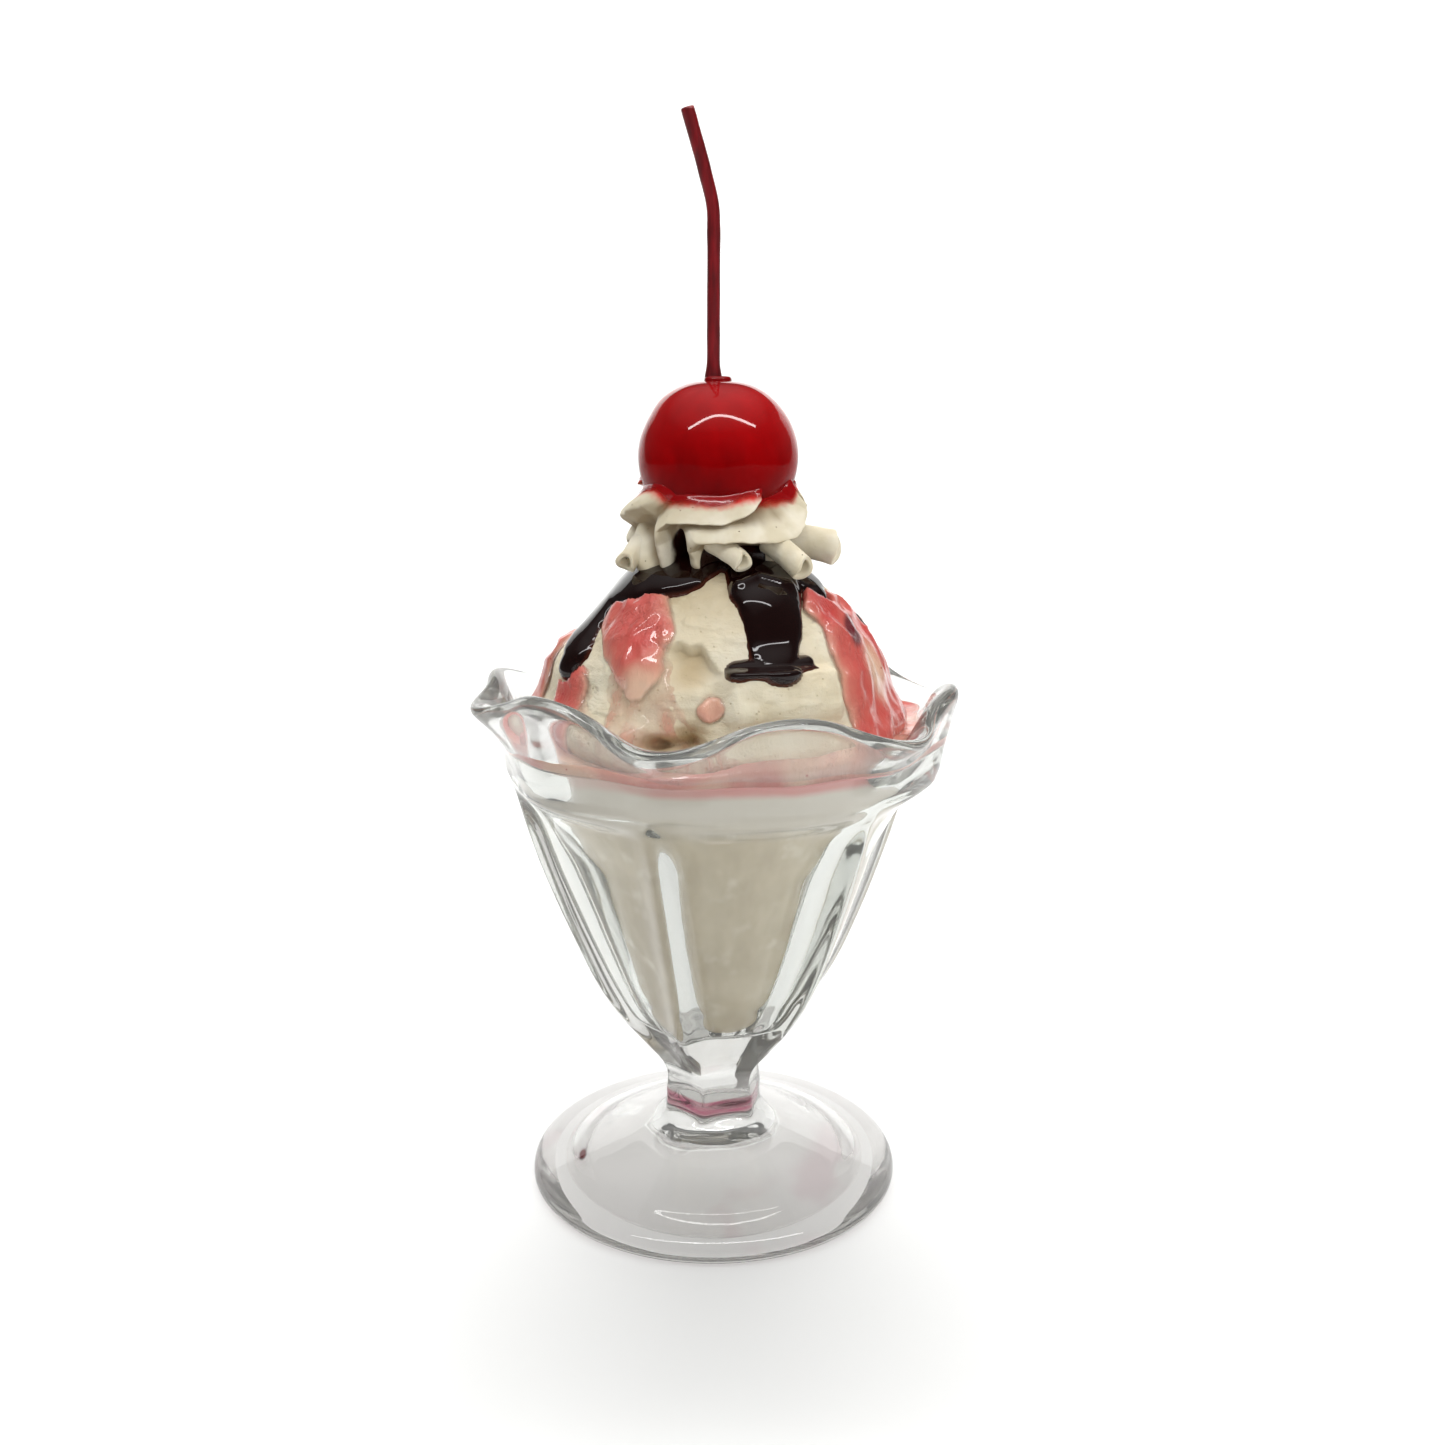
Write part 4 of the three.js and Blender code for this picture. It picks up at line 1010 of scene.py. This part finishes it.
body_radius = smooth_profile(cream_body)
cream_azimuths, cream_heights = np.meshgrid(
    all_round(cream["columns"]), np.linspace(cream_body[0][0], cream_body[-1][0], cream["lines"]))
flat_place = polar(cream_azimuths, cream["round"], cream_heights)
wander = layered_noise(flat_place, (1.2, 7.0, 51))
drift = cream["hang"] + layered_noise(flat_place, (0.22, 5.0, 52))
relief = cream_relief(cream_azimuths + wander, cream_heights + drift)
relief = relief * (1 + layered_noise(flat_place, (0.06, 1.3, 53)))
relief = relief + layered_noise(flat_place, (0.12, 3.0, 54))
sagged = cream_heights - cream["sag"] * relief
cream_grid = polar(cream_azimuths, body_radius(cream_heights) + relief, sagged)
cream_grid += (cream["x"], 0, 0)
print("the ribbons stand out by up to", relief.max().round(1), "mm")

# %% Rolled ends
cream_curls = [        # start, end and radius
    ((-0.6, -12.5, 129.9), (5.4, -18.2, 127.3), 1.9), ((10.2, -11.0, 129.6), (16.0, -15.8, 125.8), 2.3),
    ((-12.8, -5.0, 128.4), (-15.6, -9.4, 125.9), 1.9), ((4.0, 12.0, 129.0), (8.4, 18.4, 124.4), 2.4),
    ((12.0, -4.0, 129.2), (22.6, -6.0, 128.4), 3.1),
]
curl = {"wall": 0.75, "sides": 40, "hang": 0.8, "torn": 0.5}


def curl_grid(start, end, radius):
    """A bent hollow tube: up its outside, over the torn end and back inside."""
    start, end = np.array(start), np.array(end)
    way = (end - start) / np.linalg.norm(end - start)
    side = np.cross(way, (0, 0, 1))
    side /= np.linalg.norm(side)
    up = np.cross(side, way)
    around = np.radians(all_round(curl["sides"]))
    wall = curl["wall"] / radius
    outside = [(0.0, 1.1), (0.25, 1.05), (0.5, 1.0), (0.75, 1.0), (0.97, 1.04)]
    inside = [(1.0, 0.9), (0.97, 1 - wall), (0.7, 0.9 - wall), (0.45, 0.45)]
    rows = []
    for share, size in between_rows(np.array(outside + inside), 4):
        torn_end = curl["torn"] * np.sin(around * 2 + 1) * share**4
        middle = start + share * (end - start) - np.array((0, 0, curl["hang"])) * share**2
        ring = radius * size * (np.cos(around)[:, None] * side + np.sin(around)[:, None] * up)
        rows.append(middle + ring + torn_end[:, None] * way)
    return roughened(np.array(rows), 0.12, 1.6, seed=55)


cream_points, cream_faces = closed(cream_grid)
for start, end, radius in cream_curls:
    points, faces = closed(curl_grid(start, end, radius), start=len(cream_points))
    cream_points, cream_faces = np.concatenate([cream_points, points]), cream_faces + faces
print("points of the cream and its rolled ends:", len(cream_points))

# %% [markdown]
# The cream is matt plaster with pinholes from air bubbles. Painted shade darkens the pinholes, the valleys
# between the ribbons and the undersides. Red glaze from the cherry has soaked into it and fades out, so a
# field says how close each point is to the cherry, and noise makes the edge of the stain run. At two places
# fudge is drawn up into it.

# %% Where the cream is stained, and its painted shade
cherry = {"x": 1.0, "z": 143.6, "radius": 14.65, "top": 158.1}
glaze_dabs = [(-4, 32, 1.0), (62, 9, 1.5), (-76, 9, 1.1), (150, 22, 1.6), (230, 18, 1.2)]
drawn_up_left = {"azimuth": -27, "reach": 7, "from": 133.5, "to": 129.0, "strength": 1.4}
drawn_up_right = {"along": (-14, -8, 36, 44), "from": 130.5, "to": 126.0, "strength": 1.2}


def azimuth_of(points):
    return np.degrees(np.arctan2(points[..., 0] - cream["x"], -points[..., 1]))


def off_cherry(points):
    return np.linalg.norm(points - (cherry["x"], 0, cherry["z"]), axis=-1) - cherry["radius"]


def glaze_reach(points):
    """How far from the cherry the glaze runs: further at the right and left than in front."""
    return 1.3 + sum(more * bell(turn(azimuth_of(points), at), reach) for at, reach, more in glaze_dabs)


def blurred(field, across, along):
    """The mean of a field over the points round each point, up to so many columns and rows away."""
    steps = range(-across, across + 1, across // 4)
    field = np.mean([np.roll(field, step, axis=1) for step in steps], axis=0)
    padded = np.pad(field, ((along, along), (0, 0)), mode="edge")
    steps = range(-along, along + 1, along // 4)
    return np.mean([padded[along + step:along + step + len(field)] for step in steps], axis=0)


soak = np.clip(1.2 - off_cherry(cream_points) / (glaze_reach(cream_points) + 1.2), 0, 1)
around, level = azimuth_of(cream_grid), cream_grid[..., 2]
left, right = drawn_up_left, drawn_up_right
drawn_up = left["strength"] * bell(turn(around, left["azimuth"]), left["reach"])
drawn_up = drawn_up * (1 - smoothstep(level, left["to"], left["from"]))
low_down = 1 - smoothstep(level, right["to"], right["from"])
drawn_up += right["strength"] * window(around, *right["along"]) * low_down
# painted shade: darker in the valleys between the ribbons and on the undersides
painted_fold_shade = smoothstep(blurred(relief, 12, 16) - relief, -0.1, 0.9) * (1 - smoothstep(cream_heights, 137, 140))
painted_fold_shade += smoothstep(-outward(cream_grid)[..., 2], -0.3, 0.6) * 0.8
print("share of the cream that is stained red:", (soak > 0.5).mean().round(2))

# %% The cream's finish
# the pinhole and valley colours are painted shade
plaster_colours = {"dark": colour(206, 196, 170), "pale": colour(224, 217, 198), "pinhole_shade": colour(118, 96, 66),
                   "painted_fold_shade": colour(120, 98, 66), "red": colour(206, 40, 34), "fudge": colour(30, 9, 6)}


def cream_finish():
    finish = Finish("piped_cream_plaster")
    place = finish.place()
    clouds = finish.noise(place, 6.0, detail=3.0)
    base = clouds.between(0.35, 0.7).mix(plaster_colours["dark"], plaster_colours["pale"])
    holes = finish.spots(place, 2.1).between(0.035, 0.08)
    # painted shade in the pinholes
    base = holes.mix(plaster_colours["pinhole_shade"], base)
    soaked = finish.field("soak") + (finish.noise(place, 1.6, detail=3.0) - 0.5) * 0.5
    base = soaked.between(0.35, 1.0).mix(base, plaster_colours["red"])
    # painted shade in the valleys and undersides
    base = (finish.field("painted_fold_shade") * 0.8).mix(base, plaster_colours["painted_fold_shade"])
    fudged = (finish.field("drawn_up") + (clouds - 0.5) * 0.5).between(0.35, 0.55)
    base = fudged.mix(base, plaster_colours["fudge"])
    relief = finish.noise(place, 0.5, detail=3.0) * 0.35 + holes * 1.2 + clouds * 0.3
    return finish.show(finish.principled(
        base_color=base, roughness=0.62 - fudged * 0.5, specular_ior_level=0.3, subsurface_weight=0.1,
        subsurface_radius=(1.0, 0.75, 0.5), subsurface_scale=0.001, normal=finish.bump(relief, 0.16)))


piece("piped_cream", cream_points, cream_faces, cream_finish(), "cream",
      {"soak": soak, "drawn_up": np.clip(drawn_up, 0, 1), "painted_fold_shade": np.clip(painted_fold_shade, 0, 1)},
      node="whipped_cream")

# %% [markdown]
# ## Cherry, glaze and stalk
#
# The cherry is a smooth glossy ball with a shallow dimple and a small collar round the stalk. It is deep
# red, with painted shade that darkens it downwards and in the dimple round the stalk. Only its upper half
# has a clear coat, which mirrors the long lamp as one bent line: lower down, a coat would mirror the pale
# floor and turn the red pink.

# %% Cherry
# the red from dark to bright is painted shade by height, mixed with random mottles
cherry_colours = {"dark": colour(92, 0, 2), "bright": colour(168, 1, 5), "dimple_shade": colour(110, 0, 6)}
dimple = {"depth": 0.9, "reach": 24}
collar = {"radius": 2.5, "height": 0.9}


def cherry_finish():
    finish = Finish("cherry_gloss")
    place = finish.place()
    level = finish.axis(place, "Z") - cherry["z"]
    clouds = finish.noise(place, 12.0, detail=2.0)
    mottles = finish.noise(place * (1.0, 1.0, 0.6), 4.0, detail=2.0)
    # painted shade: darker towards the bottom of the ball
    share = level.between(-13, 9) * 0.7 + (clouds - 0.5) * 0.5 + (mottles - 0.5) * 0.5
    base = share.mix(cherry_colours["dark"], cherry_colours["bright"])
    # painted shade in the dimple round the stalk
    base = (level.between(11.5, 14.5) * 0.7).mix(base, cherry_colours["dimple_shade"])
    return finish.show(finish.principled(
        base_color=base, roughness=0.12, specular_ior_level=0.04, coat_weight=level.between(-2, 7) * 0.9,
        coat_roughness=0.02))


def cherry_grid(columns=160, lines=96):
    azimuth = all_round(columns)
    rows = []
    for elevation in np.linspace(-88, 80, lines):
        up = math.radians(elevation)
        reach = cherry["radius"] - dimple["depth"] * bell(90 - elevation, dimple["reach"])
        rows.append(polar(azimuth, reach * math.cos(up), reach * math.sin(up)))
    top = cherry["top"] - cherry["z"]
    profile = [(collar["radius"] + 0.1, top - collar["height"]),
               (collar["radius"], top - collar["height"] / 2),
               (collar["radius"] - 0.35, top - 0.1), (collar["radius"] - 1.1, top), (0.6, top - 0.15)]
    rows += list(between_rows([polar(azimuth, radius, height) for radius, height in profile], 3))
    return roughened(np.array(rows), 0.2, 5.5, seed=61) + (cherry["x"], 0, cherry["z"])


piece("cherry_ball", *closed(cherry_grid()), cherry_finish(), "cherry_skin", node="cherry")

# %% [markdown]
# The cherry's red glaze has run onto the cream in a thin clear layer. It climbs where it touches the
# cherry, is thickest in the two hollows beside it, and thins out to nothing, so its depth drives both
# colour and alpha.

# %% Glaze on the cream
glaze = {"thickness": 0.3, "feather": 0.9, "fall": 0.5, "sink": 0.2, "under": 0.32, "climb": 0.4,
         "climb_reach": 0.8, "lowest": 128}
glaze_colours = {"thin": colour(204, 40, 30), "thick": colour(140, 2, 6)}


def glaze_finish():
    finish = Finish("cherry_glaze")
    depth = finish.field("depth") + (finish.noise(finish.place(), 2.0, detail=3.0) - 0.5) * 0.9
    base = depth.between(0.2, 1.6).mix(glaze_colours["thin"], glaze_colours["thick"])
    return finish.show(finish.principled(
        base_color=base, roughness=0.16, coat_weight=0.3, coat_roughness=0.03, specular_ior_level=0.3,
        alpha=depth.between(0.2, 1.7)))


distance = off_cherry(cream_grid) - glaze_reach(cream_grid) + layered_noise(cream_grid, (0.5, 2.2, 62))
height = glaze["thickness"] * (1 - np.exp(np.minimum(distance, 0) / glaze["feather"]))
height = height - np.maximum(distance, 0) * glaze["fall"]
height += glaze["climb"] * np.exp(-np.maximum(off_cherry(cream_grid), 0) / glaze["climb_reach"])
height = np.maximum(height, -glaze["sink"])
upward = polar(cream_azimuths, 0.6, 0.8)
over, under = cream_grid + upward * height[..., None], cream_grid - upward * glaze["under"]
glazed = (distance < glaze["sink"]) & (cream_heights > glaze["lowest"])
points, faces, kept = skin(over, under, glazed)
piece("cherry_glaze_on_cream", points, faces, glaze_finish(), "cherry_skin",
      {"depth": np.clip(-distance, 0, 3).ravel()[kept]})

# %% [markdown]
# The stalk is a soft plastic rod. It goes straight up and then bends to the left, and its cut end is
# paler. It widens a little where it comes out of the cherry.

# %% Stalk
stalk = {"radius": 1.2, "cut": 203.3, "foot": 0.35, "foot_reach": 1.6, "sides": 32,
         "path": [(0.15, 157.6), (0.2, 170), (0.25, 182), (0.05, 187.5), (-1.3, 193.2), (-4.3, 203.6)]}
stalk_colours = {"dark": colour(84, 4, 10), "bright": colour(122, 8, 18), "cut": colour(150, 70, 70)}


def stalk_finish():
    finish = Finish("stalk_plastic")
    place = finish.place()
    streaks = finish.noise(place * (1.0, 1.0, 0.15), 0.9, detail=3.0)
    base = streaks.between(0.3, 0.75).mix(stalk_colours["dark"], stalk_colours["bright"])
    base = finish.axis(place, "Z").between(stalk["cut"], stalk["cut"] + 0.4).mix(base, stalk_colours["cut"])
    return finish.show(finish.principled(
        base_color=base, roughness=0.32, coat_weight=0.3, coat_roughness=0.2,
        normal=finish.bump(streaks, 0.08)))


def stalk_grid():
    line = between_rows([(x, 0.0, height) for x, height in stalk["path"]], 14)
    along = np.gradient(line, axis=0)
    along /= np.linalg.norm(along, axis=1, keepdims=True)
    forward = np.array((0.0, -1.0, 0.0))
    around = np.radians(all_round(stalk["sides"]))[:, None]
    rows = []
    for middle, way in zip(line, along):
        radius = stalk["radius"] * (1 + stalk["foot"] * bell(middle[2] - line[0, 2], stalk["foot_reach"]))
        rows.append(middle + radius * (np.cos(around) * forward - np.sin(around) * np.cross(way, forward)))
    rows.append(lerp(line[-1], rows[-1], 0.9) + along[-1] * 0.12)
    return roughened(np.array(rows), 0.05, 2.5, seed=63)


piece("stalk_rod", *closed(stalk_grid()), stalk_finish(), "stalk_skin", node="cherry_stalk")

# %% [markdown]
# ## Floor, lamps and camera
#
# A sweep of pale card stands for the table and the wall behind it. The wall is low, so that the room
# above it is darker and the fudge's top stays black. Without air between the card and the inner half of
# the foot's ring, that part of the ring shows the card and not a mirror image of the room, as a foot that
# stands on a table does.

# %% Floor
card = {"half_width": 900.0, "front": -700.0, "back": 900.0, "rise": 620.0, "bend": 350.0, "steps": 24,
        "height": 0.02, "floor": colour(224, 224, 223), "wall": colour(247, 247, 246)}


def floor_finish():
    finish = Finish("pale_card")
    wall = finish.axis(finish.place(), "Z").between(10, 260)
    return finish.show(finish.principled(base_color=wall.mix(card["floor"], card["wall"]), roughness=0.7))


def floor_sweep():
    """Points and faces of a floor that bends up into a wall."""
    profile = [(card["front"], card["height"]), (card["back"] - card["bend"], card["height"])]
    for angle in np.linspace(0, math.pi / 2, card["steps"] + 1)[1:]:
        back = card["back"] - card["bend"] * (1 - math.sin(angle))
        profile.append((back, card["bend"] * (1 - math.cos(angle))))
    profile.append((card["back"], card["rise"]))
    points = [(x, y, z) for y, z in profile for x in (-card["half_width"], card["half_width"])]
    return points, [[2 * k, 2 * k + 1, 2 * k + 3, 2 * k + 2] for k in range(len(profile) - 1)]


mesh_object("pale_floor", *floor_sweep(), floor_finish())

# %% [markdown]
# Glass and gloss mirror their lamps, so only one lamp is mirrored here: a long thin strip high in front,
# whose image is the white line on the cherry, the fudge and the foot. The soft lamps in front and at the
# back light the food and the card, two at the sides round it off, and one washes the wall. They are
# hidden from mirror images and from rays through glass.

# %% Lamps
middle = (0.0, 0.0, 100.0)
lamps = {        # place, size, power and what it aims at
    "strip_front": ((30, -440, 900), (1640, 58), 4.8, middle),
    "front_fill": ((420, -840, 400), (600, 500), 3.0, middle),
    "soft_back": ((0, 520, 900), (900, 300), 7.4, middle),
    "strip_left": ((-760, -250, 800), (20, 500), 1.6, middle),
    "strip_right": ((800, -250, 760), (20, 500), 1.8, middle),
    "wall_wash": ((0, 420, 1150), (1600, 60), 9.0, (0, 900, 250)),
}
mirrored = {"strip_front"}


def lamp(name, place, size, power, aim):
    """A flat lamp of this size, turned to its aim."""
    data = bpy.data.lights.new(name, "AREA")
    data.shape = "RECTANGLE"
    data.size, data.size_y = size[0] / METRE, size[1] / METRE
    data.energy = power
    made = bpy.data.objects.new(name, data)
    made.location = np.array(place) / METRE
    away = mathutils.Vector(np.array(place) - np.array(aim))
    made.rotation_euler = away.to_track_quat("Z", "Y").to_euler()
    made.visible_glossy = made.visible_transmission = name in mirrored
    bpy.context.scene.collection.objects.link(made)


for name, settings in lamps.items():
    lamp(name, *settings)
print("lamps:", ", ".join(lamps))

# %% [markdown]
# The room itself is a gradient: a light ceiling over darker walls, which glass needs at its edges to look
# like glass. Light passes many surfaces in the dish, so the paths may be long.

# %% Room
# How light it is by the height of a direction: 0 is the horizon and 1 is straight up.
room_levels = [(0.0, 0.17), (0.3, 0.09), (0.6, 0.12), (0.8, 0.4), (1.0, 0.7)]
room_strength = 0.9
bounces = {"max_bounces": 28, "glossy_bounces": 16, "transmission_bounces": 24,
           "transparent_max_bounces": 16}


def room_light():
    world = bpy.data.worlds.new("soft_room")
    world.use_nodes = True
    nodes, links = world.node_tree.nodes, world.node_tree.links
    ramp = nodes.new("ShaderNodeValToRGB")
    for place, level in room_levels[1:-1]:
        ramp.color_ramp.elements.new(place)
    for element, (place, level) in zip(ramp.color_ramp.elements, room_levels):
        element.position, element.color = place, (level, level, level, 1)
    parts = nodes.new("ShaderNodeSeparateXYZ")
    links.new(nodes.new("ShaderNodeTexCoord").outputs["Generated"], parts.inputs[0])
    links.new(parts.outputs["Z"], ramp.inputs[0])
    links.new(ramp.outputs["Color"], nodes["Background"].inputs["Color"])
    nodes["Background"].inputs["Strength"].default_value = room_strength
    return world


bpy.context.scene.world = room_light()
bpy.context.scene.view_settings.view_transform = "Standard"
for limit, value in bounces.items():
    setattr(bpy.context.scene.cycles, limit, value)
print("light paths:", bounces)

# %% [markdown]
# The camera stands close, a hand's breadth above the rim, and looks down on the sundae by thirteen and a
# half degrees.

# %% Camera
view = {"x": 1.8, "back": 285.0, "height": 162.0, "down": 13.52, "lens": 38.24, "sensor": 36.0, "near": 10.0}
camera_data = bpy.data.cameras.new("camera")
camera_data.lens = view["lens"]
camera_data.sensor_width = view["sensor"]
camera_data.clip_start = view["near"] / METRE
camera = bpy.data.objects.new("camera", camera_data)
camera.location = np.array((view["x"], -view["back"], view["height"])) / METRE
camera.rotation_euler = (math.radians(90 - view["down"]), 0, 0)
bpy.context.scene.collection.objects.link(camera)
bpy.context.scene.camera = camera
print("camera:", view)
